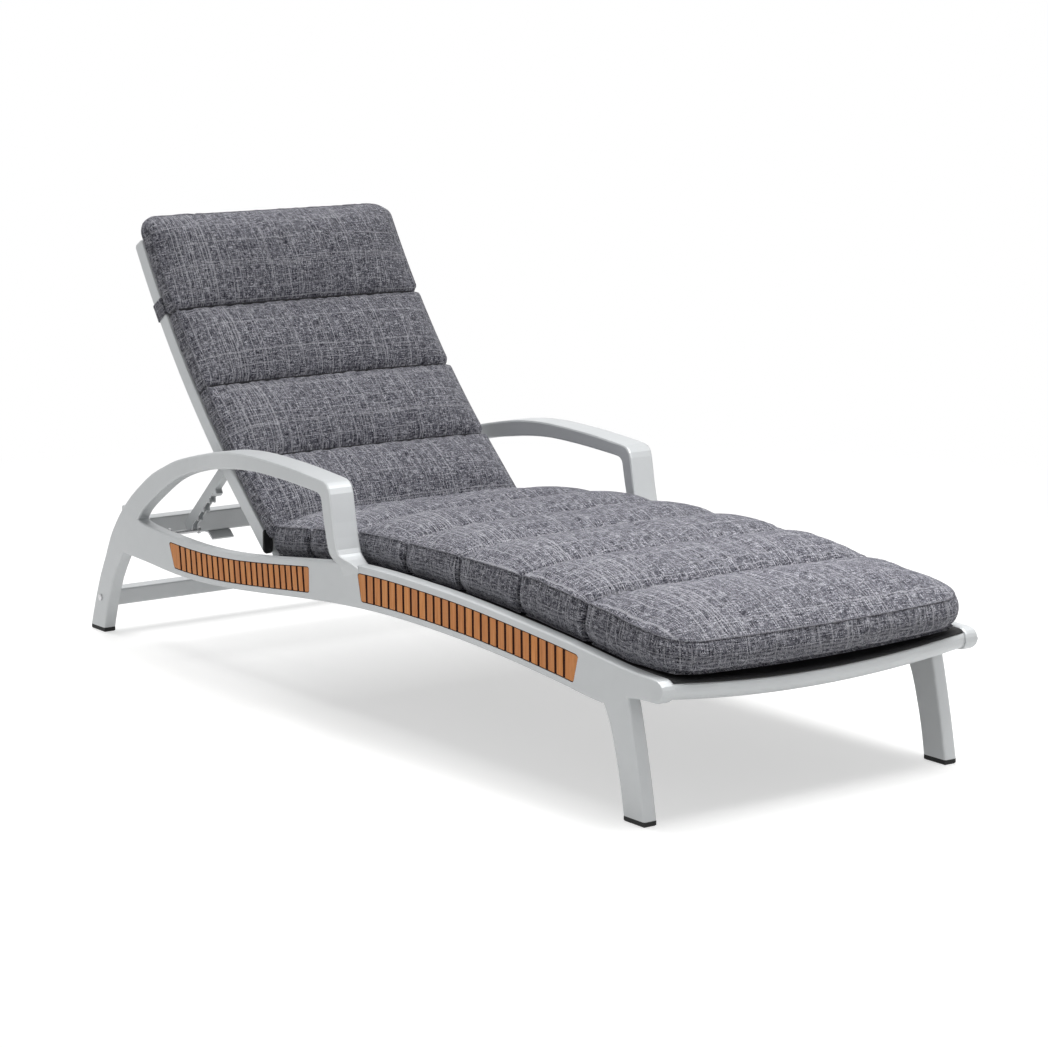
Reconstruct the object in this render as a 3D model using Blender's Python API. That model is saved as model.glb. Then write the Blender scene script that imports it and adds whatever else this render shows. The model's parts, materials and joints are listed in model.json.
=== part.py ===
"""Outdoor chaise longue: cast side frames with teak inlays, slings, a reclining back on toothed props.

Metres, +Z up. The foot end points to -Y, the head to +Y, and X runs across. The origin lies on the
floor below the middle of the side frames. Right and left are those of the person lying on it.
"""

import bmesh
import bpy
from math import cos, pi, radians, sin
from mathutils import Vector

# Driving dimensions of the frame
side_length = 2.036
metal_height = 0.480
pad_height = 0.010
pad_margin = 0.0012
width_over_legs = 0.740
arm_flare = 0.0295
frame_thickness = 0.0293
frame_edge_round = 0.0045
nose_radius = 0.021
nose_height = 0.2365

# Gaps that keep neighbours apart
fit_gap = 0.0003
soft_gap = 0.0006
overrun = 0.004
strip_step = 0.00005

# Teak inlays
inlay_depth = 0.0055
inlay_recess = 0.0006
groove_depth = 0.0026
groove_width = 0.0052
inlay_corner = 0.007
front_slats = 27
rear_slats = 24
front_slat_lean = 0.001
rear_slat_lean = 0.0055

# Cross members
foot_tube_radius = 0.0175
foot_tube_drop = 0.021
stretcher_depth = 0.040
stretcher_height = 0.037
stretcher_level = 0.067
stretcher_round = 0.004
crossbar_depth = 0.040
crossbar_height = 0.046
crossbar_level = 0.245
crossbar_beyond_strut = 0.085
seat_bar_depth = 0.030
seat_bar_height = 0.022
stop_width = 0.054
stop_offset = 0.166
stop_plate = 0.003
stop_drop = 0.016
stop_reach = 0.030

# Seat sling and its tracks
sling_thickness = 0.0024
sling_below_rail = 0.009
track_width = 0.012
track_height = 0.012
sling_wrap_front = 48.0
sling_wrap_back = 100.0

# Back frame
back_slope = 42.25
back_straight = 0.120
back_arc_radius = 2.10
back_arc_length = 0.622
back_tube_depth = 0.035
back_tube_width = 0.022
back_tube_round = 0.005
back_side_gap = 0.0307
tube_below_pivot = 0.012
cap_length = 0.005
back_rail_depth = 0.020
back_rail_height = 0.026

# Back hinge
pivot_level = 0.294
pivot_radius = 0.004
lug_thickness = 0.006
lug_radius = 0.013
bolt_head_radius = 0.0075
bolt_head_height = 0.004

# Prop struts and the pins that catch them
strut_pin_distance = 0.1985
strut_width = 0.016
strut_depth = 0.023
strut_tail = 0.008
strut_reach = 0.253
strut_foot_angle = 42.6
strut_offset = 0.0012
strut_wall = 0.003
strut_slot_depth = 0.013
tooth_pitch = 0.034
tooth_count = 4
tooth_height = 0.007
tooth_lean = 0.005
tooth_back = 0.009
stop_nub_reach = 0.107
stop_nub_size = 0.010
strut_seat_gap = 0.0006
catch_radius = 0.004
catch_stand = 0.012
catch_plate = 0.005

# Cushions
seat_side_gap = 0.0247
seat_cushion_widening = 0.019
seat_cushion_edge = 0.069
seat_cushion_crown = 0.026
seat_front_inset = 0.006
seat_front_corner = 0.060
back_cushion_edge = 0.043
back_cushion_crown = 0.026
back_cushion_beyond = 0.038
channel_depth = 0.013
side_pull = 0.006
strap_width = 0.040
strap_thickness = 0.0014

# Shares of side_length, from the foot end, and of metal_height, along the rail
rail_top_shares = (
    (0.010, 0.537), (0.054, 0.545), (0.128, 0.578), (0.211, 0.608), (0.295, 0.632), (0.376, 0.642),
    (0.442, 0.643), (0.491, 0.633), (0.555, 0.602), (0.629, 0.563), (0.697, 0.534), (0.761, 0.523),
    (0.830, 0.531), (0.874, 0.543), (0.890, 0.558), (0.904, 0.604),
)
rail_bottom_shares = (
    (0.010, 0.449), (0.047, 0.439), (0.074, 0.391), (0.147, 0.417), (0.221, 0.444), (0.300, 0.463),
    (0.378, 0.470), (0.447, 0.466), (0.516, 0.449), (0.583, 0.424), (0.643, 0.398), (0.712, 0.372),
    (0.771, 0.359), (0.820, 0.360), (0.869, 0.372), (0.927, 0.383),
)
rail_nose_share = 0.062
rail_leg_share = 0.86
rail_end_share = 0.924

# Outer edge, inner edge and flare, from the rear foot over the arm to the post's foot
arch_shares = (
    (1.000, 0.000, 0.970, 0.000, 0.0), (0.990, 0.119, 0.961, 0.115, 0.0),
    (0.977, 0.246, 0.948, 0.242, 0.0), (0.964, 0.346, 0.931, 0.350, 0.0),
    (0.953, 0.438, 0.916, 0.427, 0.0), (0.940, 0.513, 0.904, 0.490, 0.0),
    (0.926, 0.579, 0.893, 0.546, 0.0), (0.905, 0.658, 0.882, 0.598, 0.0),
    (0.881, 0.729, 0.868, 0.641, 0.0), (0.858, 0.788, 0.847, 0.698, 0.0),
    (0.834, 0.832, 0.824, 0.756, 0.0), (0.812, 0.869, 0.804, 0.796, 0.0),
    (0.782, 0.904, 0.777, 0.835, 0.02), (0.739, 0.945, 0.736, 0.875, 0.32),
    (0.697, 0.979, 0.695, 0.904, 0.76), (0.662, 0.995, 0.662, 0.923, 1.0),
    (0.628, 1.000, 0.628, 0.933, 1.0), (0.585, 0.995, 0.585, 0.931, 1.0),
    (0.552, 0.988, 0.553, 0.925, 1.0), (0.521, 0.977, 0.525, 0.918, 1.0),
    (0.502, 0.969, 0.512, 0.913, 1.0), (0.495, 0.952, 0.508, 0.902, 1.0),
    (0.491, 0.919, 0.506, 0.888, 1.0), (0.486, 0.804, 0.502, 0.808, 1.0),
    (0.480, 0.698, 0.495, 0.698, 1.0), (0.476, 0.669, 0.493, 0.658, 0.80),
    (0.469, 0.646, 0.491, 0.621, 0.30), (0.459, 0.617, 0.490, 0.573, 0.0),
)

# Height, front edge and rear edge of the front leg
front_leg_shares = (
    (0.000, 0.0231, 0.0526), (0.104, 0.0278, 0.0572), (0.208, 0.0331, 0.0634),
    (0.312, 0.0388, 0.0712), (0.385, 0.0432, 0.0800), (0.440, 0.0470, 0.0900),
    (0.490, 0.0500, 0.0960),
)

# Top and bottom ends of the inlays, as shares of side_length
front_inlay_shares = (0.1166, 0.1227, 0.4646, 0.4592)
rear_inlay_shares = (0.5511, 0.5511, 0.8242, 0.8150)
inlay_height_share = 0.66

# Width of each inlay's first and last slat, as shares of the others'
front_end_slat_shares = (1.4, 1.0)
rear_end_slat_shares = (1.0, 1.7)

# Places along the frame, as shares of side_length
stretcher_share = 0.9764
seat_bar_shares = (0.330, 0.663)
pivot_share = 0.6935
track_end_shares = (0.036, 0.669)
seat_cushion_end_share = 0.6555
sling_level_share = 0.09

# Channels across the cushions, as shares of each cushion's length from its front or foot end
seat_channel_shares = (0.0, 0.191, 0.346, 0.494, 0.633, 0.768, 0.899, 1.0)
back_channel_shares = (0.0, 0.229, 0.472, 0.715, 1.0)
strap_share = 0.78

half_length = side_length / 2
leg_outer = width_over_legs / 2
leg_inner = leg_outer - frame_thickness
arm_outer = leg_outer + arm_flare
back_half_width = leg_inner - back_side_gap
back_cushion_half = back_half_width
seat_cushion_half = leg_inner - seat_side_gap
sides = (("right", -1), ("left", 1))


def clear_scene():
    for thing in list(bpy.data.objects):
        bpy.data.objects.remove(thing, do_unlink=True)


def finish(name, colour, roughness, metallic):
    paint = bpy.data.materials.get(name) or bpy.data.materials.new(name)
    paint.use_nodes = True
    shader = paint.node_tree.nodes["Principled BSDF"]
    shader.inputs["Base Color"].default_value = (*colour, 1.0)
    shader.inputs["Roughness"].default_value = roughness
    shader.inputs["Metallic"].default_value = metallic
    return paint


def add_piece(name, mesh, paint, parent=None, smooth_angle=35):
    """Puts a mesh in the scene as one named sub-part, kept where it is when it gets a parent."""
    mesh.materials.clear()
    mesh.materials.append(paint)
    mesh.shade_smooth()
    mesh.set_sharp_from_angle(angle=radians(smooth_angle))
    piece = bpy.data.objects.new(name, mesh)
    bpy.context.scene.collection.objects.link(piece)
    if parent is not None:
        piece.parent = parent
        piece.matrix_parent_inverse = parent.matrix_world.inverted()
    return piece


def mesh_of(name, points, faces):
    mesh = bpy.data.meshes.new(name)
    mesh.from_pydata([tuple(p) for p in points], [], faces)
    bm = bmesh.new()
    bm.from_mesh(mesh)
    bmesh.ops.recalc_face_normals(bm, faces=bm.faces)
    bm.to_mesh(mesh)
    bm.free()
    mesh.update()
    return mesh


def loft(name, rings):
    """A closed skin over rings of points, each ring with as many points, and a flat cap at each end."""
    count = len(rings[0])
    points = [p for ring in rings for p in ring]
    faces = [tuple(range(count))]
    for r in range(len(rings) - 1):
        low, high = r * count, (r + 1) * count
        for i in range(count):
            j = (i + 1) % count
            faces.append((low + i, low + j, high + j, high + i))
    last = (len(rings) - 1) * count
    faces.append(tuple(last + i for i in range(count)))
    return mesh_of(name, points, faces)


def combine(mesh, other, operation):
    """One EXACT boolean between two meshes; the result replaces the first."""
    scene = bpy.context.scene.collection
    first = bpy.data.objects.new("first", mesh)
    second = bpy.data.objects.new("second", other)
    scene.objects.link(first)
    scene.objects.link(second)
    step = first.modifiers.new("join", "BOOLEAN")
    step.operation = operation
    step.solver = "EXACT"
    step.object = second
    bpy.context.view_layer.update()
    seen = first.evaluated_get(bpy.context.evaluated_depsgraph_get())
    result = bpy.data.meshes.new_from_object(seen)
    bpy.data.objects.remove(first, do_unlink=True)
    bpy.data.objects.remove(second, do_unlink=True)
    return result


def along(share):
    """Y of a share of the side frame's length, from the foot end."""
    return share * side_length - half_length


def up(share):
    """Z of a share of the metal frame's height, above the rubber pads."""
    return pad_height + share * metal_height


def curve_value(table, x):
    """Height of a smooth curve through (x, height) pairs, flat past its ends."""
    if x <= table[0][0]:
        return table[0][1]
    if x >= table[-1][0]:
        return table[-1][1]
    i = max(k for k in range(len(table) - 1) if table[k][0] <= x)
    x0, y0 = table[i]
    x1, y1 = table[i + 1]
    before = table[max(i - 1, 0)]
    after = table[min(i + 2, len(table) - 1)]
    slope0 = (y1 - before[1]) / (x1 - before[0])
    slope1 = (after[1] - y0) / (after[0] - x0)
    t = (x - x0) / (x1 - x0)
    span = x1 - x0
    return (
        (2 * t**3 - 3 * t**2 + 1) * y0 + (t**3 - 2 * t**2 + t) * span * slope0
        + (3 * t**2 - 2 * t**3) * y1 + (t**3 - t**2) * span * slope1
    )


def rail_top(y):
    return up(curve_value(rail_top_shares, (y + half_length) / side_length))


def rail_bottom(y):
    return up(curve_value(rail_bottom_shares, (y + half_length) / side_length))


def spread(start, end, steps):
    return [start + (end - start) * i / steps for i in range(steps + 1)]


def smooth_rows(rows, steps):
    """Rows of a table with smooth steps between them (Catmull-Rom)."""
    result = []
    for i in range(len(rows) - 1):
        p0, p1 = rows[max(i - 1, 0)], rows[i]
        p2, p3 = rows[i + 1], rows[min(i + 2, len(rows) - 1)]
        for k in range(steps):
            t = k / steps
            result.append(tuple(
                0.5 * (2 * b + (c - a) * t + (2 * a - 5 * b + 4 * c - d) * t**2
                       + (3 * b - a - 3 * c + d) * t**3)
                for a, b, c, d in zip(p0, p1, p2, p3)
            ))
    result.append(tuple(rows[-1]))
    return result


def bar_ring(a, b, x_inner, x_outer, side, radius, steps=2):
    """A rounded oblong between edge points a and b of the side view and two distances from the middle."""
    a, b = Vector(a), Vector(b)
    height = (a - b).length
    rise = (a - b) / height
    round_off = min(radius, 0.48 * height, 0.48 * (x_outer - x_inner))
    corners = ((x_outer, b, 1, 1, -90), (x_outer, a, 1, -1, 0), (x_inner, a, -1, -1, 90), (x_inner, b, -1, 1, 180))
    ring = []
    for x, edge, x_sign, rise_sign, start in corners:
        centre_x = x - x_sign * round_off
        centre = edge + rise * rise_sign * round_off
        for k in range(steps + 1):
            turn = radians(start + 90 * k / steps)
            place = centre + rise * round_off * sin(turn)
            ring.append(Vector((side * (centre_x + round_off * cos(turn)), place.x, place.y)))
    return ring


def box_mesh(name, low, high, radius=0.0):
    """A box between two corners, its edges along X rounded where a radius is given."""
    rings = []
    for x in (low[0], high[0]):
        if radius:
            ring = []
            for y, z, start in ((high[1], low[2], -90), (high[1], high[2], 0),
                                (low[1], high[2], 90), (low[1], low[2], 180)):
                y_in = y - radius if y == high[1] else y + radius
                z_in = z - radius if z == high[2] else z + radius
                for k in range(3):
                    turn = radians(start + 45 * k)
                    ring.append((x, y_in + radius * cos(turn), z_in + radius * sin(turn)))
        else:
            ring = [(x, low[1], low[2]), (x, high[1], low[2]), (x, high[1], high[2]), (x, low[1], high[2])]
        rings.append(ring)
    return loft(name, rings)


def turned(name, stations, centre, sides_round=20):
    """A round piece whose axis runs along X: (x, radius) stations about a (y, z) centre."""
    rings = []
    for x, radius in stations:
        rings.append([
            (x, centre[0] + radius * cos(2 * pi * i / sides_round), centre[1] + radius * sin(2 * pi * i / sides_round))
            for i in range(sides_round)
        ])
    return loft(name, rings)


def bore(mesh, centre, radius, x_from, x_to):
    low, high = min(x_from, x_to), max(x_from, x_to)
    return combine(mesh, turned("bore", ((low, radius), (high, radius)), centre, 16), "DIFFERENCE")


def hinge_empty(name, y, z, x=0.0, parent=None):
    empty = bpy.data.objects.new(name, None)
    empty.location = (x, y, z)
    bpy.context.scene.collection.objects.link(empty)
    bpy.context.view_layer.update()
    if parent is not None:
        empty.parent = parent
        empty.matrix_parent_inverse = parent.matrix_world.inverted()
        bpy.context.view_layer.update()
    return empty


# Places that several pieces share
nose_centre = (-half_length + nose_radius, pad_height + nose_height)
stretcher_centre = (along(stretcher_share), pad_height + stretcher_level)
pivot = (along(pivot_share), pad_height + pivot_level)
back_tube_inner = back_half_width - back_tube_width
sling_half = leg_inner - fit_gap


def back_axis(s):
    """Point and slope of the back tubes' centre line at a distance s above the pivot."""
    slope = radians(back_slope)
    if s <= back_straight:
        return Vector((pivot[0] + s * cos(slope), pivot[1] + s * sin(slope))), slope
    start = Vector((pivot[0] + back_straight * cos(slope), pivot[1] + back_straight * sin(slope)))
    turn = slope + (s - back_straight) / back_arc_radius
    swing = Vector((sin(turn) - sin(slope), cos(slope) - cos(turn)))
    return start + back_arc_radius * swing, turn


def back_point(s, forward):
    """A point beside the back's centre line, forward of it towards the person."""
    point, slope = back_axis(s)
    return point + forward * Vector((-sin(slope), cos(slope)))


back_length = back_straight + back_arc_length
strut_top = tuple(back_axis(strut_pin_distance)[0])
strut_direction = Vector((cos(radians(strut_foot_angle)), -sin(radians(strut_foot_angle))))
strut_front = Vector((-sin(radians(strut_foot_angle)), -cos(radians(strut_foot_angle))))
catch_centre = (
    Vector(strut_top) + strut_reach * strut_direction
    + (strut_depth / 2 + catch_radius + strut_seat_gap) * strut_front
)
crossbar_centre = (
    strut_top[0] + (strut_reach + strut_tail) * strut_direction.x + crossbar_beyond_strut,
    pad_height + crossbar_level,
)
strut_outer = back_tube_inner - strut_offset
strut_inner = strut_outer - strut_width


def make_side_frame(word, side, paint):
    """Rail with a round nose, front leg, and one strip that is rear leg, arch, arm and post."""
    rail_rings = []
    for angle in (14, 32, 50, 70):
        reach, half = nose_radius * cos(radians(angle)) / cos(radians(14)), nose_radius * sin(radians(angle))
        y = nose_centre[0] - reach
        rail_rings.append(bar_ring((y, nose_centre[1] + half), (y, nose_centre[1] - half),
                                   leg_inner, leg_outer, side, frame_edge_round))
    nose_end, leg_start = along(rail_nose_share), along(rail_leg_share)
    stations = spread(nose_centre[0], nose_end, 4) + spread(nose_end, leg_start, 34)[1:]
    stations += spread(leg_start, along(rail_end_share), 8)[1:]
    for y in stations:
        rail_rings.append(bar_ring((y, rail_top(y)), (y, rail_bottom(y)), leg_inner, leg_outer, side,
                                   frame_edge_round))
    frame = loft("rail", rail_rings)

    leg_rings = []
    seam = strip_step
    for z_share, front, rear in smooth_rows(front_leg_shares, 2):
        leg_rings.append(bar_ring((along(rear), up(z_share)), (along(front), up(z_share)),
                                  leg_inner + seam, leg_outer - seam, side, frame_edge_round))
    frame = combine(frame, loft("leg", leg_rings), "UNION")

    arch_rings = []
    for outer_y, outer_z, inner_y, inner_z, flare in smooth_rows(arch_shares, 2):
        x_outer = leg_outer - seam + (arm_outer - leg_outer) * flare
        arch_rings.append(bar_ring((along(outer_y), up(outer_z)), (along(inner_y), up(inner_z)),
                                   leg_inner + seam, x_outer, side, frame_edge_round))
    frame = combine(frame, loft("arch", arch_rings), "UNION")

    for shares in (front_inlay_shares, rear_inlay_shares):
        ends = corner_places(along(shares[2]) - along(shares[0]))
        places = ends + spread(ends[-1], 1 - ends[-1], 22)[1:-1] + [1 - t for t in reversed(ends)]
        pocket = [
            bar_ring(top, bottom, leg_outer - inlay_depth, leg_outer + overrun, side, 0.0, 1)
            for top, bottom in inlay_edges(shares, fit_gap, places)
        ]
        frame = combine(frame, loft("pocket", pocket), "DIFFERENCE")
    frame = bore(frame, stretcher_centre, pivot_radius + fit_gap, side * (leg_inner - overrun),
                 side * (leg_outer + overrun))
    return add_piece(f"side_frame_{word}", frame, paint)


def inlay_edges(shares, margin, places):
    """Pairs of top and bottom points of an inlay's outline, margin wider all round, its corners rounded."""
    start_top, start_bottom, end_top, end_bottom = (along(s) for s in shares)
    radius = inlay_corner + margin
    pairs = []
    for t in places:
        from_end = min(t, 1 - t) * (end_top - start_top + 2 * margin)
        y_top = start_top - margin + (end_top - start_top + 2 * margin) * t
        y_bottom = start_bottom - margin + (end_bottom - start_bottom + 2 * margin) * t
        pairs.append(inlay_pair(y_top, y_bottom, margin, radius, from_end))
    return pairs


def inlay_pair(y_top, y_bottom, margin, radius, from_end):
    """Top and bottom points of an inlay's outline, closer together within a corner's radius of its end."""
    inward = max(0.0, radius - from_end)
    cut = radius - (radius * radius - inward * inward) ** 0.5
    top, bottom = inlay_point(y_top, 1, margin - cut), inlay_point(y_bottom, -1, margin - cut)
    return top, bottom


def inlay_point(y, sign, margin=0.0):
    middle = (rail_top(y) + rail_bottom(y)) / 2
    half = inlay_height_share * (rail_top(y) - rail_bottom(y)) / 2
    return (y, middle + sign * (half + margin))


def corner_places(length):
    """Places near an inlay's end, as shares of its length, that draw its rounded corners."""
    return [inlay_corner * (1 - cos(radians(angle))) / length for angle in (22, 45, 66, 90)]


def make_inlay(name, shares, slats, end_widths, lean, side, paint):
    """One teak strip with a groove between each pair of slats; the slats lean, its ends do not."""
    start_top, start_bottom, end_top, end_bottom = (along(s) for s in shares)
    length = end_top - start_top
    face = leg_outer - inlay_recess
    back = leg_outer - inlay_depth + fit_gap
    widths = [end_widths[0]] + [1.0] * (slats - 2) + [end_widths[1]]
    bounds = [sum(widths[:k]) / sum(widths) for k in range(slats + 1)]
    half_groove = groove_width / 2 / length
    corner = inlay_corner / length

    def ring(t, outer):
        near_end = min((t - corner) / (bounds[1] - corner), (1 - t - corner) / (1 - bounds[-2] - corner))
        near_end = max(0.0, min(1.0, near_end))
        end_lean = (start_top - start_bottom) * (1 - t) + (end_top - end_bottom) * t
        y_middle = (start_top + start_bottom) / 2 * (1 - t) + (end_top + end_bottom) / 2 * t
        shift = (lean * near_end + end_lean * (1 - near_end)) / 2
        top, bottom = inlay_pair(y_middle + shift, y_middle - shift, 0.0, inlay_corner, min(t, 1 - t) * length)
        return [(side * x, p[0], p[1]) for x, p in ((back, bottom), (back, top), (outer, top), (outer, bottom))]

    ends = corner_places(length)
    rings = [ring(t, face) for t in ends]
    for k in range(1, slats):
        start, end = bounds[k] - half_groove, bounds[k] + half_groove
        sunk = face - groove_depth
        rings += [ring(start, face), ring(start, sunk), ring(end, sunk), ring(end, face)]
    rings += [ring(1 - t, face) for t in reversed(ends)]
    return add_piece(name, loft(name, rings), paint, smooth_angle=20)


def make_foot_pad(name, y_low, y_high, side, paint):
    """A rubber pad below a leg, its lower edge drawn in."""
    margin, chamfer = pad_margin, pad_height / 5
    rings = []
    for z, inset in ((0.0, margin + chamfer), (chamfer, margin), (pad_height - fit_gap, margin)):
        x0, x1 = side * (leg_inner + inset), side * (leg_outer - inset)
        rings.append([(x0, y_low + inset, z), (x1, y_low + inset, z), (x1, y_high - inset, z), (x0, y_high - inset, z)])
    return add_piece(name, loft(name, rings), paint)


def make_foot_tube(paint):
    """The bowed round tube that joins the two noses."""
    end = leg_inner - fit_gap
    rings = []
    for x in spread(-end, end, 20):
        drop = foot_tube_drop * (1 - (x / end) ** 2)
        rings.append([
            (x, nose_centre[0] + foot_tube_radius * cos(2 * pi * i / 20),
             nose_centre[1] - drop + foot_tube_radius * sin(2 * pi * i / 20)) for i in range(20)
        ])
    return add_piece("foot_tube", loft("foot_tube", rings), paint)


def make_crossbars(metal):
    end = leg_inner - fit_gap
    y, z = stretcher_centre
    half_y, half_z = stretcher_depth / 2, stretcher_height / 2
    stretcher = box_mesh("rear_stretcher", (-end, y - half_y, z - half_z), (end, y + half_y, z + half_z),
                         stretcher_round)
    for _, side in sides:
        stretcher = bore(stretcher, stretcher_centre, pivot_radius + fit_gap,
                         side * (end - 3 * stretcher_round), side * (end + overrun))
    add_piece("rear_stretcher", stretcher, metal)

    y, z = crossbar_centre
    half_y, half_z = crossbar_depth / 2, crossbar_height / 2
    crossbar = box_mesh("rear_crossbar", (-end, y - half_y, z - half_z), (end, y + half_y, z + half_z),
                        stretcher_round)
    add_piece("rear_crossbar", crossbar, metal)

    for name, share in zip(("seat_middle_bar", "seat_rear_bar"), seat_bar_shares):
        y = along(share)
        top = seat_bar_top(y)
        reach = end - track_width
        bar = box_mesh(name, (-reach, y - seat_bar_depth / 2, top - seat_bar_height),
                       (reach, y + seat_bar_depth / 2, top), stretcher_round)
        add_piece(name, bar, metal)


def seat_bar_top(y):
    """Top of a seat bar, just below the sling where the sling is lowest over it."""
    return min(sling_top(y + k * seat_bar_depth / 2) for k in (-1, 0, 1)) - sling_thickness - soft_gap


def make_stops(metal):
    """Bent tabs below the rear crossbar: a flange under the bar and a lip that slopes down and forward."""
    front = crossbar_centre[0] - crossbar_depth / 2
    under = crossbar_centre[1] - crossbar_height / 2 - fit_gap
    outline = (
        (front + stop_reach / 2, under), (front + stop_reach / 2, under - stop_plate),
        (front + stop_plate, under - stop_plate), (front - stop_reach / 2, under - stop_drop),
        (front - stop_reach / 2 - stop_plate / 2, under - stop_drop + stop_plate), (front - stop_plate / 2, under),
    )
    for word, side in sides:
        rings = [[(side * x, y, z) for y, z in outline]
                 for x in (stop_offset - stop_width / 2, stop_offset + stop_width / 2)]
        add_piece(f"crossbar_stop_{word}", loft("stop", rings), metal)


def make_stretcher_bolt(word, side, metal):
    """A screw through the rear leg into the stretcher, its low dome on the outer face."""
    inner = leg_inner - fit_gap - 2 * stretcher_round
    head = leg_outer + fit_gap
    stations = (
        (inner, pivot_radius), (head, pivot_radius), (head, bolt_head_radius),
        (head + bolt_head_height / 2, bolt_head_radius), (head + bolt_head_height, bolt_head_radius / 2),
    )
    add_piece(f"stretcher_bolt_{word}", turned("bolt", [(side * x, r) for x, r in stations], stretcher_centre), metal)


def sling_top(y):
    """Upper face of the seat sling, a little below the rails' top edge."""
    return rail_top(y) - sling_below_rail


def tube_drop(x):
    return foot_tube_drop * (1 - (x / (leg_inner - fit_gap)) ** 2)


def sling_line(x, lift, steps):
    """The sling's line at one distance from the middle: over the foot tube, then back along the seat."""
    centre_z = nose_centre[1] - tube_drop(x)
    radius = foot_tube_radius + fit_gap + lift
    line = []
    for angle in spread(sling_wrap_front, sling_wrap_back, 6):
        turn = radians(180 - angle)
        line.append((nose_centre[0] + radius * cos(turn), centre_z + radius * sin(turn)))
    start_y, start_z = line[-1]
    end_y = along(track_end_shares[1])
    for y in spread(start_y, end_y, steps)[1:]:
        blend = min(1.0, (y - start_y) / (along(sling_level_share) - start_y))
        blend = blend * blend * (3 - 2 * blend)
        z_seat = sling_top(y) - sling_thickness + lift
        line.append((y, (start_z + (y - start_y) / 8) * (1 - blend) + z_seat * blend))
    return line


def make_seat_sling(cloth):
    """A thin closed sheet from the foot tube to the rear seat bar."""
    columns = spread(-sling_half, sling_half, 12)
    under = [sling_line(x, 0.0, 26) for x in columns]
    over = [sling_line(x, sling_thickness, 26) for x in columns]
    rings = []
    for k in range(len(under[0])):
        ring = [(x, *under[i][k]) for i, x in enumerate(columns)]
        ring += [(x, *over[i][k]) for i, x in reversed(list(enumerate(columns)))]
        rings.append(ring)
    add_piece("seat_sling", loft("seat_sling", rings), cloth)


def make_sling_track(word, side, metal):
    """A strip along the rail's inner face that the sling's edge is held on."""
    rings = []
    for y in spread(along(track_end_shares[0]), along(track_end_shares[1]), 26):
        top = sling_top(y) - sling_thickness - soft_gap
        rings.append([
            (side * x, y, z) for x, z in (
                (leg_inner - fit_gap, top), (leg_inner - track_width, top),
                (leg_inner - track_width, top - track_height), (leg_inner - fit_gap, top - track_height))
        ])
    add_piece(f"sling_track_{word}", loft("track", rings), metal)


def make_hinge(word, side, metal):
    """A lug behind the rear seat bar, inside the back tube, and the bolt through it into the tube."""
    plate_outer = back_tube_inner - soft_gap
    plate_inner = plate_outer - lug_thickness
    y, z = pivot
    bar_y, bar_top = along(seat_bar_shares[1]), seat_bar_top(along(seat_bar_shares[1]))
    front = bar_y + seat_bar_depth / 2 + fit_gap
    outline = [(front, bar_top - seat_bar_height), (front + lug_radius, bar_top - seat_bar_height)]
    outline += [(y + lug_radius * cos(radians(a)), z + lug_radius * sin(radians(a))) for a in range(-40, 161, 20)]
    outline.append((front, bar_top))
    plate = loft("lug", [[(side * x, py, pz) for py, pz in outline] for x in (plate_inner, plate_outer)])
    plate = bore(plate, pivot, pivot_radius + fit_gap, side * (plate_inner - overrun), side * (plate_outer + overrun))
    add_piece(f"hinge_lug_{word}", plate, metal)

    head = plate_inner - fit_gap
    root = back_half_width - back_tube_width / 4 - fit_gap
    stations = (
        (root, pivot_radius), (head, pivot_radius), (head, bolt_head_radius),
        (head - bolt_head_height / 2, bolt_head_radius), (head - bolt_head_height, bolt_head_radius / 2),
    )
    add_piece(f"pivot_bolt_{word}", turned("pivot_bolt", [(side * x, r) for x, r in stations], pivot), metal)


def tube_end_ring(s, inset, shrink, side):
    """The back tube's section at its foot, cut upright: the rear edge starts lower down the slope."""
    slope = radians(back_slope)
    half = back_tube_depth / 2
    front_s = s + inset
    rear_s = front_s - back_tube_depth * sin(slope) / cos(slope)
    return bar_ring(back_point(front_s, half - shrink), back_point(rear_s, shrink - half),
                    back_tube_inner + shrink, back_half_width - shrink, side, back_tube_round)


def make_back_tube(word, side, metal, dark, back_frame):
    half = back_tube_depth / 2
    stations = [2 * pivot_radius + back_tube_depth, back_straight]
    stations += spread(back_straight, back_length - cap_length, 12)[1:]
    rings = [tube_end_ring(-tube_below_pivot, cap_length, 0.0, side)]
    rings += [
        bar_ring(back_point(s, half), back_point(s, -half), back_tube_inner, back_half_width, side, back_tube_round)
        for s in stations
    ]
    tube = loft("back_tube", rings)
    for centre in (pivot, strut_top):
        tube = bore(tube, centre, pivot_radius + fit_gap, side * (back_tube_inner - overrun),
                    side * (back_half_width - back_tube_width / 4))
    add_piece(f"back_tube_{word}", tube, metal, back_frame)

    lower = [tube_end_ring(-tube_below_pivot, 0.0, cap_length / 5, side),
             tube_end_ring(-tube_below_pivot, cap_length - fit_gap, 0.0, side)]
    add_piece(f"tube_cap_lower_{word}", loft("cap", lower), dark, back_frame)
    upper = []
    for s, shrink in ((back_length - cap_length + fit_gap, 0.0), (back_length, cap_length / 4)):
        upper.append(bar_ring(back_point(s, half - shrink), back_point(s, shrink - half),
                              back_tube_inner + shrink, back_half_width - shrink, side, back_tube_round))
    add_piece(f"tube_cap_upper_{word}", loft("cap", upper), metal, back_frame)


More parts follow.
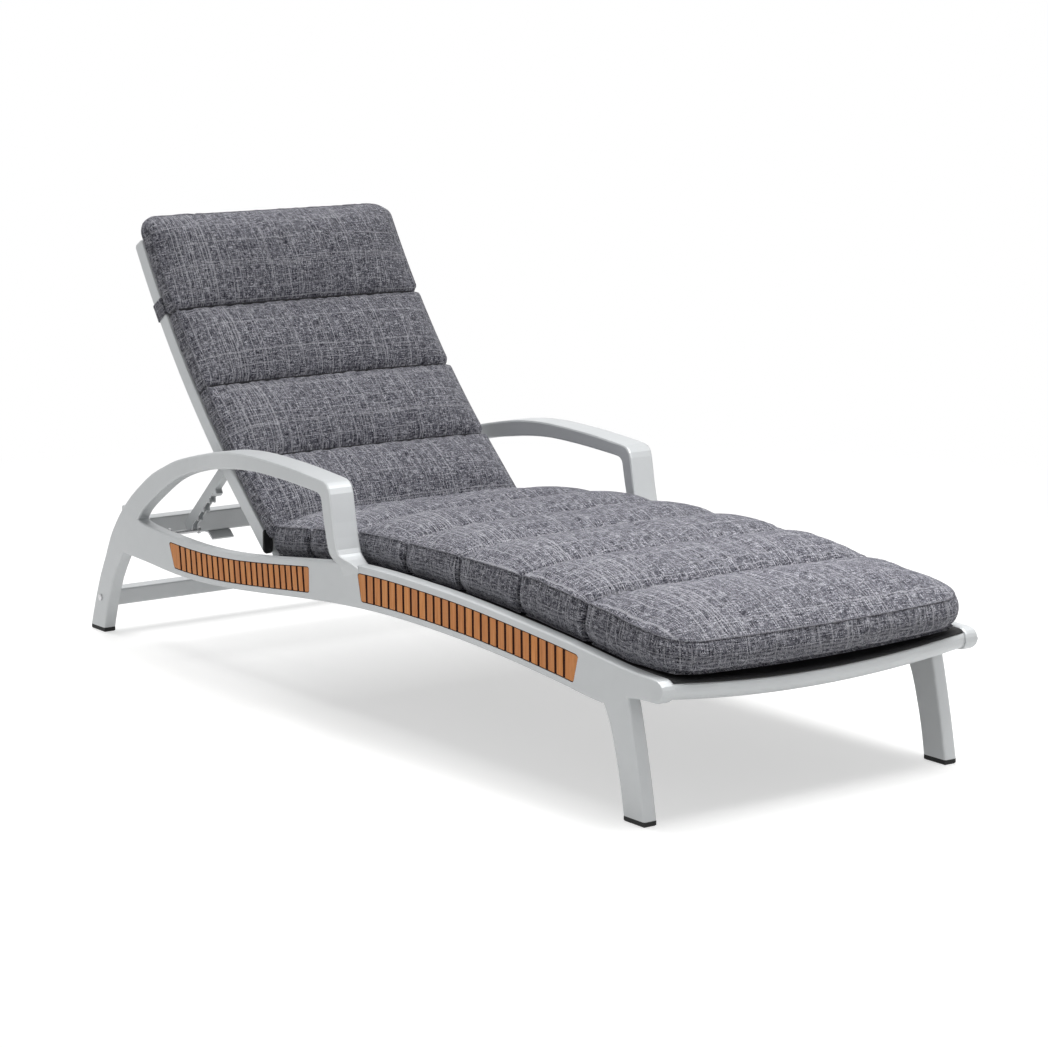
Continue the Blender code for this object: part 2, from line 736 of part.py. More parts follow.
def make_back_rails(metal, back_frame):
    """Cross rails between the back tubes, clear of the folded struts."""
    end = back_tube_inner - fit_gap
    middle_forward = back_tube_depth / 2 - sling_thickness - fit_gap - back_rail_depth / 2 - soft_gap
    strut_sweep = strut_pin_distance + strut_reach + strut_tail + tooth_height
    places = (
        ("back_lower_rail", strut_pin_distance - strut_depth - back_rail_height),
        ("back_middle_rail", strut_sweep + back_rail_height),
        ("back_upper_rail", back_length - cap_length - back_rail_height),
    )
    for name, s in places:
        half_s, half_f = back_rail_height / 2, back_rail_depth / 2
        corners = ((s - half_s, middle_forward - half_f), (s + half_s, middle_forward - half_f),
                   (s + half_s, middle_forward + half_f), (s - half_s, middle_forward + half_f))
        rings = [[(x, *back_point(cs, cf)) for cs, cf in corners] for x in (-end, end)]
        add_piece(name, loft(name, rings), metal, back_frame)


def make_back_sling(cloth, back_frame):
    end = back_tube_inner - fit_gap
    front = back_tube_depth / 2
    stations = spread(strut_pin_distance - 2 * back_rail_height - strut_depth, back_length - cap_length, 16)
    rings = []
    for s in stations:
        near, far = back_point(s, front - sling_thickness), back_point(s, front)
        rings.append([(-end, *near), (end, *near), (end, *far), (-end, *far)])
    add_piece("back_sling", loft("back_sling", rings), cloth, back_frame)


def strut_outline():
    """The strut's side view: (distance along it, distance to the rear), a round head and leaning teeth."""
    half = strut_depth / 2
    foot = strut_reach + strut_tail
    points = [(half * cos(radians(a)), half * sin(radians(a))) for a in range(90, 271, 30)]
    points += [(stop_nub_reach - stop_nub_size * 3 / 4, -half), (stop_nub_reach - stop_nub_size / 2, -half - stop_nub_size),
               (stop_nub_reach + stop_nub_size / 2, -half - stop_nub_size), (stop_nub_reach + stop_nub_size * 3 / 4, -half)]
    first_tooth = strut_reach - (strut_seat_gap + tooth_lean / 4 + catch_radius / 4)
    for k in reversed(range(tooth_count)):
        s = first_tooth - k * tooth_pitch
        points += [(s - tooth_back - tooth_lean, -half), (s - tooth_lean - tooth_lean / 2, -half - tooth_height),
                   (s - tooth_lean, -half - tooth_height), (s, -half)]
    points += [(foot - half / 4, -half), (foot, -half / 2), (foot, half / 2), (foot - half / 2, half)]
    return points


def make_strut(word, side, metal, back_frame, strut_frame):
    rear = -strut_front
    outline = []
    for s, h in strut_outline():
        place = Vector(strut_top) + s * strut_direction + h * rear
        outline.append((place.x, place.y))
    rings = [[(side * x, y, z) for y, z in outline] for x in (strut_inner, strut_outer)]
    strut = loft("strut", rings)
    strut = bore(strut, strut_top, pivot_radius + fit_gap, side * (strut_inner - overrun), side * (strut_outer + overrun))
    half = strut_depth / 2
    slot = []
    for s, h in ((stop_nub_reach + 2 * stop_nub_size, strut_slot_depth - half),
                 (strut_reach + strut_tail + overrun, strut_slot_depth - half),
                 (strut_reach + strut_tail + overrun, -half - tooth_height - overrun),
                 (stop_nub_reach + 2 * stop_nub_size, -half - tooth_height - overrun)):
        place = Vector(strut_top) + s * strut_direction + h * rear
        slot.append((place.x, place.y))
    cutter = loft("slot", [[(side * x, y, z) for y, z in slot]
                           for x in (strut_inner + strut_wall, strut_outer - strut_wall)])
    strut = combine(strut, cutter, "DIFFERENCE")
    add_piece(f"prop_strut_{word}", strut, metal, strut_frame)

    head = strut_inner - fit_gap
    root = back_half_width - back_tube_width / 4 - overrun
    stations = (
        (root, pivot_radius), (head, pivot_radius), (head, bolt_head_radius),
        (head - bolt_head_height / 2, bolt_head_radius), (head - bolt_head_height, bolt_head_radius / 2),
    )
    pin = turned("pin", [(side * x, r) for x, r in stations], strut_top)
    add_piece(f"strut_pin_{word}", pin, metal, back_frame)

    wall = leg_inner - fit_gap
    end = strut_inner - bolt_head_height
    stations = (
        (wall, catch_stand), (wall - catch_plate, catch_stand), (wall - catch_plate, catch_radius),
        (end, catch_radius), (end, bolt_head_radius), (end - bolt_head_height, bolt_head_radius),
    )
    catch = turned("catch", [(side * x, r) for x, r in stations], tuple(catch_centre))
    add_piece(f"catch_pin_{word}", catch, metal)


def cushion_ring(width_half, edge, crown, channel, pull, columns):
    """Cross-section of a cushion as (x, height) pairs from its lower left edge round over the top."""
    bottom_half = width_half - pull - edge / 8
    ring = [(-bottom_half, 0.0), (-width_half + pull, edge * 0.16), (-width_half, edge * 0.55),
            (-width_half + pull / 3, edge * 0.92)]
    top_half = width_half - edge / 10
    for i in range(columns + 1):
        share = -1 + 2 * i / columns
        rise = crown * (1 - abs(share) ** 3.2) - channel * (1 - abs(share) ** 14)
        ring.append((top_half * share, edge + rise))
    ring += [(-x, z) for x, z in reversed(ring[:4])]
    return ring


def channel_shape(t, marks):
    """0 in the middle of a roll and 1 on the channel between two rolls; the ends count as half."""
    i = max(k for k in range(len(marks) - 1) if marks[k] <= t)
    u = (t - marks[i]) / (marks[i + 1] - marks[i])
    return abs(2 * u - 1) ** 2.6


def roll_stations(marks, steps):
    stations = []
    for low, high in zip(marks[:-1], marks[1:]):
        for k in range(steps):
            u = k / steps
            stations.append(low + (high - low) * (0.5 - 0.5 * cos(pi * u)))
    return stations + [1.0]


def make_seat_cushion(cloth):
    """The seat's padding: rolls between sewn channels, on the sling, with round front corners."""
    front = -half_length + seat_front_inset
    end = along(seat_cushion_end_share)
    length = end - front
    marks = seat_channel_shares
    rings = []
    for t in roll_stations(marks, 6):
        y = front + length * t
        near_front = min(1.0, (y - front) / seat_front_corner)
        near_end = min(1.0, (end - y) / (seat_cushion_edge / 3))
        round_front = (1 - (1 - near_front) ** 2) ** 0.5
        half = seat_cushion_half + seat_cushion_widening * (1 - t) ** 1.5 - seat_front_corner * (1 - round_front)
        lift = sling_support(y) + soft_gap
        height = seat_cushion_edge * (0.88 + 0.12 * min(1.0, 3 * near_front) ** 0.5) * (0.8 + 0.2 * near_end ** 0.5)
        crown = seat_cushion_crown * min(1.0, near_front + 0.35) * (0.4 + 0.6 * near_end ** 0.5)
        channel = channel_depth * channel_shape(t, marks) * (1.0 if 0.02 < t < 0.99 else 0.3)
        pull = side_pull * (1 + channel_shape(t, marks))
        ring = cushion_ring(half, height, crown, channel, pull, 12)
        rings.append([(x, y, lift + z) for x, z in ring])
    add_piece("seat_cushion", loft("seat_cushion", rings), cloth, smooth_angle=60)


def sling_support(y):
    """Highest face of the sling below the cushion at a given y."""
    start = nose_centre[0]
    if y <= start:
        return max(z for _, z in sling_line(leg_inner - fit_gap, sling_thickness, 2)[:7])
    line = sling_line(leg_inner - fit_gap, sling_thickness, 60)
    heights = [z for py, z in line if abs(py - y) < side_length / 60]
    return max(heights + [sling_top(y)])


def make_back_cushion(cloth, back_frame):
    """The back's padding on the tubes' front faces, cut upright at its foot beside the seat's end."""
    base = back_tube_depth / 2 + soft_gap
    foot_y = along(seat_cushion_end_share) + seat_cushion_edge / 8
    top_s = back_length + back_cushion_beyond
    rise = base + back_cushion_edge
    start_front = (foot_y - back_axis(0)[0].x + rise * sin(radians(back_slope))) / cos(radians(back_slope))
    length = top_s - start_front
    marks = back_channel_shares
    rings = []
    for t in roll_stations(marks, 6):
        s = start_front + length * t
        near_top = min(1.0, (top_s - s) / (back_cushion_edge * 1.1))
        round_top = (1 - (1 - near_top) ** 2) ** 0.5
        half = back_cushion_half - back_cushion_edge * 0.8 * (1 - round_top)
        edge = back_cushion_edge * (0.45 + 0.55 * round_top)
        near_foot = min(1.0, (s - start_front) / back_cushion_edge)
        crown = back_cushion_crown * (0.25 + 0.75 * near_foot ** 0.5) * (0.3 + 0.7 * round_top)
        channel = channel_depth * channel_shape(t, marks) * (1.0 if 0.01 < t < 0.98 else 0.2)
        pull = side_pull * (1 + channel_shape(t, marks))
        ring = cushion_ring(half, edge, crown, channel, pull, 12)
        points = []
        for x, z in ring:
            place = back_point(s, base + z)
            shift = max(0.0, foot_y - place.x) if s < start_front + length / 6 else 0.0
            points.append((x, place.x + shift, place.y))
        rings.append(points)
    add_piece("back_cushion", loft("back_cushion", rings), cloth, back_frame, smooth_angle=60)


def make_strap(word, side, cloth, back_frame):
    """A band from under the cushion round the outer face of the back tube to its rear face."""
    s = back_length * strap_share
    front, rear = back_tube_depth / 2, -back_tube_depth / 2
    outer, inner_end = back_half_width + fit_gap, back_tube_inner + back_tube_round
    near, far = fit_gap, fit_gap + strap_thickness
    sewn = back_cushion_half - side_pull
    path = [
        (sewn, front + near), (outer, front + near), (outer, rear - near), (inner_end, rear - near),
        (inner_end, rear - far), (outer + strap_thickness, rear - far), (outer + strap_thickness, front + far),
        (sewn, front + far),
    ]
    rings = []
    for step in (-strap_width / 2, strap_width / 2):
        rings.append([(side * x, *back_point(s + step, f)) for x, f in path])
    add_piece(f"cushion_strap_{word}", loft("strap", rings), cloth, back_frame)


def build():
    clear_scene()
    powder = finish("powder coated aluminium", (0.52, 0.53, 0.53), 0.42, 0.3)
    steel = finish("stainless steel", (0.60, 0.60, 0.60), 0.30, 0.9)
    teak = finish("teak", (0.62, 0.27, 0.10), 0.50, 0.0)
    rubber = finish("black rubber", (0.02, 0.02, 0.02), 0.80, 0.0)
    plastic = finish("black plastic", (0.03, 0.03, 0.03), 0.50, 0.0)
    mesh_cloth = finish("black sling", (0.015, 0.015, 0.017), 0.85, 0.0)
    cover = finish("grey melange cover", (0.09, 0.09, 0.11), 0.95, 0.0)

    back_frame = hinge_empty("back_pivot", *pivot)
    feet = {
        "front": (along(front_leg_shares[0][1]), along(front_leg_shares[0][2])),
        "rear": (along(arch_shares[0][2]), along(arch_shares[0][0])),
    }
    for word, side in sides:
        make_side_frame(word, side, powder)
        make_inlay(f"teak_inlay_front_{word}", front_inlay_shares, front_slats, front_end_slat_shares,
                   front_slat_lean, side, teak)
        make_inlay(f"teak_inlay_rear_{word}", rear_inlay_shares, rear_slats, rear_end_slat_shares,
                   rear_slat_lean, side, teak)
        for place, (y_low, y_high) in feet.items():
            make_foot_pad(f"foot_pad_{place}_{word}", y_low, y_high, side, rubber)
        make_stretcher_bolt(word, side, steel)
        make_sling_track(word, side, powder)
        make_hinge(word, side, powder)
        make_back_tube(word, side, powder, plastic, back_frame)
        strut_frame = hinge_empty(f"strut_pivot_{word}", strut_top[0], strut_top[1],
                                  side * (strut_inner + strut_outer) / 2, back_frame)
        make_strut(word, side, powder, back_frame, strut_frame)
        make_strap(word, side, cover, back_frame)
    make_foot_tube(powder)
    make_crossbars(powder)
    make_stops(powder)
    make_seat_sling(mesh_cloth)
    make_back_rails(powder, back_frame)
    make_back_sling(mesh_cloth, back_frame)
    make_seat_cushion(cover)
    make_back_cushion(cover, back_frame)


build()
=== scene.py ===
"""Looks of the outdoor chaise longue: finishes, cushions, slings, straps, floor, light and camera.

Metres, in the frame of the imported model: +Z up, the foot end towards -Y, the head towards +Y.
"""

import json
from math import cos, pi, radians, sin

import bmesh
import bpy
import numpy as np
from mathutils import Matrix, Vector, noise
from mathutils.bvhtree import BVHTree


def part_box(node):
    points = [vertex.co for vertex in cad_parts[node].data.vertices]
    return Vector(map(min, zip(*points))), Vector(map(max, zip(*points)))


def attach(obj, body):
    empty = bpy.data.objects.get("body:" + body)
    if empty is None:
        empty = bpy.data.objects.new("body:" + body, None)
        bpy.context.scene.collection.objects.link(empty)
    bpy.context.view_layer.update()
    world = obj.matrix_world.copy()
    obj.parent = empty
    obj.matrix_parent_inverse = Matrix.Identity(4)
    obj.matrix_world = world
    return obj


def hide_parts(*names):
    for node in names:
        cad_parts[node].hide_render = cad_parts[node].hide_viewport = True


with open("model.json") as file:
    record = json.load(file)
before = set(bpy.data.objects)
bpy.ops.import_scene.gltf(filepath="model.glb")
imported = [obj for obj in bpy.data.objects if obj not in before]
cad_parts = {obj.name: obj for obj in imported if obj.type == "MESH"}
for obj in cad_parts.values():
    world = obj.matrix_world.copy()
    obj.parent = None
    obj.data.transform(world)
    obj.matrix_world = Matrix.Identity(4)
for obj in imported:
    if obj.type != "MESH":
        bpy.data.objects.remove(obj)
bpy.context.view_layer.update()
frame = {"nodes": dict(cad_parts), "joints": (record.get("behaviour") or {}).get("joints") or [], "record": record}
nodes = frame["nodes"]
sides = (("right", -1), ("left", 1))

# The back's line, as the frame has it: straight above the pivot, then one long arc
back_slope = radians(42.25)
back_straight = 0.120
back_arc_radius = 2.10
back_length = 0.742
back_tube_depth = 0.035
back_tube_width = 0.022
pivot = Vector(next(j for j in frame["joints"] if j["name"] == "back_recline")["pos_m"])

# Seat cushion. The marks are its channels, as shares of the length from the foot end
seat_edge = 0.069
seat_edge_places = (0.0, 0.16, 0.40, 0.59, 0.78, 0.96)
seat_edge_heights = (0.063, 0.078, 0.079, 0.070, 0.063, 0.060)
seat_rim_lift = 0.007
seat_rim_lift_run = 0.75
seat_crown = 0.028
seat_half_rear = 0.316
seat_half_front = 0.345
seat_flare = 1.5
seat_corner = 0.062
seat_end_corner = 0.012
seat_front_sag = 0.012
seat_pinch = 0.014
seat_crease_dip = 0.012
seat_sag_run = 0.16
seat_sag_loss = 0.4
seat_front_reach = 0.006
seat_marks = (0.0, 0.191, 0.346, 0.494, 0.633, 0.768, 0.899, 1.0)

# Back cushion. Its marks run from its foot to its top
back_gap = 0.0006
back_edge = 0.043
back_edge_low = 0.70
back_crown = 0.028
back_half = 0.310
back_foot_corner = 0.010
back_corner = 0.040
back_beyond = 0.038
back_pinch = 0.008
back_crease_dip = 0.008
back_rim_lift = 0.003
back_marks = (0.0, 0.229, 0.472, 0.715, 1.0)

# Grid of both cushions' covers: its cell, and how much closer rows get at channels and columns at sides
cell = 0.0078
least_rows = 10
row_crowding = 0.45
column_crowding = 0.12
border_levels = 8

# Shape of both cushions' rolls, seams and borders
crown_run = 0.085
end_round = (2.4, 0.8)
roll_round = (3.2, 0.8)
side_round = (5, 0.7)
pinch_power = 8
valley_depth = 0.020
crease_run = 0.0062
groove_drop = 0.020
groove_run = 0.0045
groove_power = 12
side_bulge = 0.007
low_tuck = 0.010
low_tuck_power = 6
seam_hold = 0.75
rim_lift_run = 0.035
welt_radius = 0.0015
welt_cloth = 3
# The stitches' dark tube is thicker than thread: in part painted shade along each channel
stitch_shade_radius = 0.0028
stitch_rise = 0.52

# Teak slats
slat_proud = 0.0004
slat_depth = 0.0012
slat_bevel = 0.0005
slat_corner = 0.0016
# Slats fall short of their places by these gaps, so that the bed's painted shade shows round each
slat_gap_side = 0.0009
slat_gap_end = 0.0014
slat_short_side = 0.004
slat_blunt_angle = 2.0
slat_tolerance = 0.0002

# Slings
sling_half_thickness = 0.0012
sling_plain = 0.0015
sling_hem = 0.028
sling_hem_fade = 0.004
sling_inset = 0.0006
sling_columns = 49
seat_sling_sag = 0.006
seat_wrap_angles = (48.0, 106.0)
seat_wrap_radius = 0.0202
seat_wrap_rows = 16
seat_flat_rows = 120
seat_flat_start = 0.010
least_row_step = 0.0005
ray_reach = 0.05
back_sling_sag = 0.005
back_sling_start = 0.1235
back_sling_end = back_length - 0.005
back_sling_trim = 0.001
back_sling_rows = 90
back_rail_places = (0.1485, 0.512, back_sling_end - 0.026)
bar_clearance = 0.02
tube_clearance = 0.03

# Straps of the back cushion
strap_width = 0.039
strap_share = 0.78
strap_gap = 0.0005
strap_room = 0.0014
strap_bend = 0.003
strap_bend_cut = 0.0009
strap_hem = 0.0065
strap_plain = 0.0009
strap_fold = 0.0006
strap_step = 0.004
strap_ends = (0.008, 0.005)
strap_columns = 13
strap_hem_fade = 0.0015
strap_edge_fade = 0.0005
strap_bow = 0.0003
strap_bow_turn = 0.9

# Cloth simulation of the covers
cloth_frames = 20
rest_ripple = 0.0008
ripple_scale = 40.0
cover_excess = 0.018
most_swell = 0.024
cloth_settings = {
    "quality": 6, "mass": 0.3, "tension_stiffness": 20.0, "compression_stiffness": 20.0,
    "shear_stiffness": 8.0, "bending_stiffness": 0.15, "air_damping": 4.0,
    "use_pressure": True, "uniform_pressure_force": 2.6, "shrink_min": -cover_excess,
}

# Pitches of the two weaves, and where the border's and underside's cloth lies on that of the top
yarn_pitch = 0.0020
sling_pitch = 0.0022
border_cloth = 7.0
under_cloth = 3.0

# Floor: half its side, how far it is lifted towards the white background, and where it turns white
floor_reach = 30.0
floor_lift = 0.56
white_from = 1.3
white_to = 3.2

# Light: the studio's level, and the lamps with their place, aim, side and power
studio_level = 0.22
lamps = (
    ("overhead", (0.1, 2.6, 4.8), (0.0, -0.2, 0.2), 3.6, 225.0),
    ("front", (0.3, -1.2, 1.9), (0.1, -1.1, 0.3), 0.9, 30.0),
    ("side", (-4.2, -0.6, 1.2), (0.0, -0.1, 0.3), 2.0, 6.5),
)

# Camera, fitted to the photograph
camera_place = (-3.6178, -5.0784, 1.5105)
camera_turn = (radians(79.4331), 0.0, radians(-36.0686))
camera_lens = 107.96
camera_sensor = 36.0


class Nodes:
    """Adds nodes to a shader tree by kind and links the sockets given as inputs."""

    def __init__(self, tree):
        self.tree = tree

    def put(self, node, inputs):
        for key, value in inputs.items():
            if isinstance(value, bpy.types.NodeSocket):
                self.tree.links.new(value, node.inputs[key])
            else:
                node.inputs[key].default_value = value
        return node

    def add(self, kind, inputs=None, **settings):
        node = self.tree.nodes.new("ShaderNode" + kind)
        for key, value in settings.items():
            setattr(node, key, value)
        return self.put(node, inputs or {})

    def math(self, operation, first, second=0.0):
        return self.add("Math", {0: first, 1: second}, operation=operation).outputs[0]

    def times(self, first, second):
        return self.math("MULTIPLY", first, second)

    def plus(self, first, second):
        return self.math("ADD", first, second)

    def shift(self, operation, first, second):
        return self.add("VectorMath", {0: first, 1: second}, operation=operation).outputs[0]

    def noise(self, vector, scale, detail=2.0, roughness=0.5):
        inputs = {"Vector": vector, "Scale": scale, "Detail": detail, "Roughness": roughness}
        return self.add("TexNoise", inputs).outputs["Fac"]

    def chance(self, number):
        return self.add("TexWhiteNoise", {"W": number}, noise_dimensions="1D").outputs["Value"]

    def ramp(self, value, *stops):
        node = self.add("ValToRGB", {"Fac": value})
        ramp = node.color_ramp
        while len(ramp.elements) < len(stops):
            ramp.elements.new(0.5)
        for element, (place, colour) in zip(ramp.elements, stops):
            element.position = place
            element.color = (*colour, 1.0)
        return node.outputs["Color"]

    def between(self, value, low, high, to_low=0.0, to_high=1.0):
        inputs = {"Value": value, "From Min": low, "From Max": high, "To Min": to_low, "To Max": to_high}
        return self.add("MapRange", inputs).outputs["Result"]

    def mix(self, factor, first, second):
        """Mixes colour second, given as three numbers, into the colour from socket first."""
        inputs = {0: factor, 6: first, 7: (*second, 1.0)}
        return self.add("Mix", data_type="RGBA", blend_type="MIX", inputs=inputs).outputs[2]

    def vector(self, x, y, z=0.0):
        return self.add("CombineXYZ", {"X": x, "Y": y, "Z": z}).outputs[0]

    def parts(self, vector):
        return self.add("SeparateXYZ", {0: vector}).outputs

    def place(self):
        return self.add("TexCoord").outputs["Object"]

    def attribute(self, name, output="Vector"):
        return self.add("Attribute", attribute_name=name).outputs[output]

    def seen(self):
        """1 for rays from the camera, in mirrors and through glass, 0 for the rays that light things."""
        path = self.add("LightPath").outputs
        return self.math("MAXIMUM", path["Is Camera Ray"],
                         self.math("MAXIMUM", path["Is Glossy Ray"], path["Is Transmission Ray"]))


class Shader(Nodes):
    """One procedural material, built on its Principled BSDF."""

    def __init__(self, name, roughness=0.5, metallic=0.0):
        self.material = bpy.data.materials.new(name)
        self.material.use_nodes = True
        super().__init__(self.material.node_tree)
        self.surface = self.tree.nodes["Principled BSDF"]
        self.set({"Roughness": roughness, "Metallic": metallic})

    def set(self, inputs):
        self.put(self.surface, inputs)

    def bump(self, height, distance, strength=1.0):
        node = self.add("Bump", {"Height": height, "Distance": distance, "Strength": strength})
        self.set({"Normal": node.outputs["Normal"]})


def powder_coat():
    """Satin silver-grey coating: orange-peel ripple, fine flakes and paler edges, a painted highlight."""
    m = Shader("powder_coat_finish", roughness=0.50, metallic=0.45)
    where = m.place()
    flakes = m.noise(where, 2200.0, 1.0)
    patches = m.noise(where, 3.0, 2.0)
    base = m.ramp(m.plus(m.times(flakes, 0.5), m.times(patches, 0.5)),
                  (0.35, (0.590, 0.608, 0.618)), (0.65, (0.648, 0.665, 0.675)))
    # Paler along the edges, where the bevelled normal turns from the flat one: a painted highlight
    edge = m.add("Bevel", {"Radius": 0.002}, samples=4).outputs["Normal"]
    flat = m.add("NewGeometry").outputs["Normal"]
    turn = m.add("VectorMath", {0: edge, 1: flat}, operation="DOT_PRODUCT").outputs["Value"]
    edge_highlight = m.between(turn, 0.985, 0.90, 0.0, 0.35)
    m.set({"Base Color": m.mix(edge_highlight, base, (0.68, 0.69, 0.69)),
           "Roughness": m.between(m.noise(where, 40.0, 3.0), 0.3, 0.7, 0.47, 0.55)})
    m.bump(m.noise(where, 900.0, 2.0), 0.0002, 0.25)
    return m.material


def stainless():
    """Brushed steel of the bolts and pins."""
    m = Shader("stainless_finish", roughness=0.3, metallic=0.95)
    x, y, z = m.parts(m.place())
    lines = m.noise(m.vector(m.times(x, 3000.0), m.times(y, 80.0), z), 1.0, 2.0)
    m.set({"Base Color": m.ramp(lines, (0.3, (0.52, 0.52, 0.53)), (0.7, (0.66, 0.66, 0.67))),
           "Roughness": m.between(lines, 0.3, 0.7, 0.24, 0.38)})
    m.bump(lines, 0.0001, 0.2)
    return m.material


def teak():
    """Oiled teak with upright grain; each slat takes its own tone and grain from its 'slat' number."""
    m = Shader("teak_finish", roughness=0.5)
    x, y, z = m.parts(m.place())
    slat = m.attribute("slat", "Fac")
    shift = m.times(slat, 37.0)

    def stretched(across, along, up):
        return m.vector(m.times(x, across), m.plus(m.times(y, along), shift), m.times(z, up))

    grain = m.noise(stretched(60.0, 190.0, 14.0), 1.0, 6.0, 0.6)
    pores = m.noise(stretched(300.0, 1500.0, 60.0), 1.0, 2.0)
    wood = m.ramp(grain, (0.25, (0.64, 0.225, 0.055)), (0.5, (0.90, 0.340, 0.088)),
                  (0.75, (0.98, 0.450, 0.135)))
    wood = m.mix(m.between(m.chance(slat), 0.0, 1.0, 0.0, 0.50), wood, (0.58, 0.190, 0.055))
    wood = m.mix(m.between(pores, 0.62, 0.75, 0.0, 0.5), wood, (0.22, 0.085, 0.03))
    m.set({"Base Color": wood, "Specular IOR Level": 0.35,
           "Roughness": m.between(grain, 0.3, 0.7, 0.52, 0.38)})
    m.bump(m.plus(grain, m.times(pores, 0.6)), 0.0004, 0.5)
    return m.material


def grained(name, roughness, scale, detail, dark, pale, height, strength):
    """A plain material whose colour and surface vary with one fine grain, and that grain."""
    m = Shader(name, roughness=roughness)
    grain = m.noise(m.place(), scale, detail)
    m.set({"Base Color": m.ramp(grain, (0.3, dark), (0.7, pale))})
    m.bump(grain, height, strength)
    return m, grain


def slat_gap_shade():
    """Near-black floor between the slats, with a fine grain: painted shade of the gaps."""
    return grained("slat_gap_shade_finish", 0.8, 400.0, 3.0, (0.040, 0.010, 0.004), (0.095, 0.026, 0.009),
                   0.0003, 0.4)[0].material


def rubber():
    """Black rubber of the foot pads."""
    return grained("rubber_finish", 0.8, 600.0, 4.0, (0.012, 0.012, 0.012), (0.030, 0.030, 0.031),
                   0.0003, 0.5)[0].material


def black_plastic():
    """Moulded black plastic of the caps and tracks, slightly uneven in gloss."""
    m, grain = grained("black_plastic_finish", 0.5, 1200.0, 2.0, (0.016, 0.016, 0.017),
                       (0.028, 0.028, 0.029), 0.0001, 0.4)
    m.set({"Roughness": m.between(grain, 0.3, 0.7, 0.42, 0.58)})
    return m.material


def sling_cloth():
    """Black coated mesh: an open plain weave of round yarns, with painted shade between them."""
    m = Shader("black_sling_finish", roughness=0.62)
    across, along, _ = m.parts(m.attribute("weave"))
    wave_across = m.math("SINE", m.times(across, pi / sling_pitch))
    wave_along = m.math("SINE", m.times(along, pi / sling_pitch))
    height = m.math("ABSOLUTE", m.times(wave_across, wave_along))
    dirt = m.noise(m.place(), 35.0, 4.0)
    # Painted shade between the yarns: darker where the weave's height falls; the noise adds random blotches
    tone = m.plus(m.times(height, 0.7), m.times(dirt, 0.4))
    m.set({"Base Color": m.ramp(tone, (0.1, (0.002, 0.002, 0.003)), (0.6, (0.008, 0.008, 0.009)),
                                (1.0, (0.020, 0.020, 0.022)))})
    m.bump(height, 0.0006, 0.8)
    return m.material


def yarns(m, place, run, seed, reach, rare):
    """One set of parallel yarns: each yarn's number, tone, pale threads and round section."""
    count = m.math("FLOOR", m.math("DIVIDE", place, yarn_pitch))
    tone = m.noise(m.vector(m.times(count, 0.83), m.times(run, 55.0), seed), 1.0, 3.0, 0.68)
    stretch = m.noise(m.vector(m.times(count, 7.31), m.times(run, reach), seed + 20.0), 1.0, 2.0)
    thread = m.times(m.between(m.chance(m.plus(count, seed)), rare, rare + 0.12),
                     m.between(stretch, 0.36, 0.48))
    crown = m.math("ABSOLUTE", m.math("SINE", m.times(place, pi / yarn_pitch)))
    return count, tone, thread, crown


def cover_cloth():
    """Grey melange cover: a plain weave of speckled yarns with long, thin, pale threads both ways, and painted
    shade between yarns.
    """
    m = Shader("grey_cover_finish", roughness=0.95)
    m.set({"Sheen Weight": 0.30, "Sheen Roughness": 0.30, "Sheen Tint": (0.95, 0.94, 1.0, 1.0),
           "Specular IOR Level": 0.2})
    raw = m.attribute("weave")
    drift = m.add("TexNoise", {"Vector": raw, "Scale": 5.0, "Detail": 1.0}).outputs["Color"]
    drift = m.shift("MULTIPLY", m.shift("SUBTRACT", drift, (0.5, 0.5, 0.5)), (0.007, 0.007, 0.0))
    across, along, _ = m.parts(m.shift("ADD", raw, drift))

    count_a, tone_a, thread_a, crown_a = yarns(m, across, along, 3.0, 6.0, 0.80)
    count_b, tone_b, thread_b, crown_b = yarns(m, along, across, 61.0, 10.0, 0.88)
    parity = m.math("MODULO", m.math("ABSOLUTE", m.plus(count_a, count_b)), 2.0)

    def on_top(first, second):
        return m.plus(m.times(first, m.math("SUBTRACT", 1.0, parity)), m.times(second, parity))

    crown = on_top(crown_a, crown_b)
    pale = m.math("MAXIMUM", on_top(thread_a, thread_b),
                  m.times(m.math("MAXIMUM", thread_a, thread_b), 0.55))
    speckle = m.noise(raw, 230.0, 2.0, 0.6)
    tone = m.plus(m.times(on_top(tone_a, tone_b), 0.76), m.times(speckle, 0.24))
    heather = m.ramp(tone, (0.39, (0.012, 0.012, 0.019)), (0.46, (0.092, 0.092, 0.113)),
                     (0.53, (0.232, 0.232, 0.267)), (0.61, (0.640, 0.640, 0.690)))
    heather = m.mix(m.times(pale, 0.54), heather, (0.740, 0.740, 0.785))
    # Painted shade between the yarns: up to 40% darker where their round sections fall away
    m.set({"Base Color": m.mix(m.between(crown, 0.0, 0.6, 0.40, 0.0), heather, (0.012, 0.012, 0.016))})
    m.bump(m.plus(crown, m.times(pale, 0.4)), 0.0008, 0.7)
    return m.material


def stitch_shade_thread():
    """Twisted charcoal thread of the channels, thick and dark enough to be in part their painted shade."""
    m = Shader("stitch_shade_thread_finish", roughness=0.9)
    where = m.place()
    x, y, _ = m.parts(where)
    twist = m.math("SINE", m.times(m.plus(x, m.times(y, 0.7)), 1500.0))
    fuzz = m.noise(where, 900.0, 2.0)
    shade = m.plus(m.times(m.between(twist, -1.0, 1.0), 0.5), m.times(fuzz, 0.5))
    m.set({"Base Color": m.ramp(shade, (0.3, (0.008, 0.008, 0.010)), (0.7, (0.040, 0.040, 0.046)))})
    m.bump(shade, 0.0003, 0.6)
    return m.material


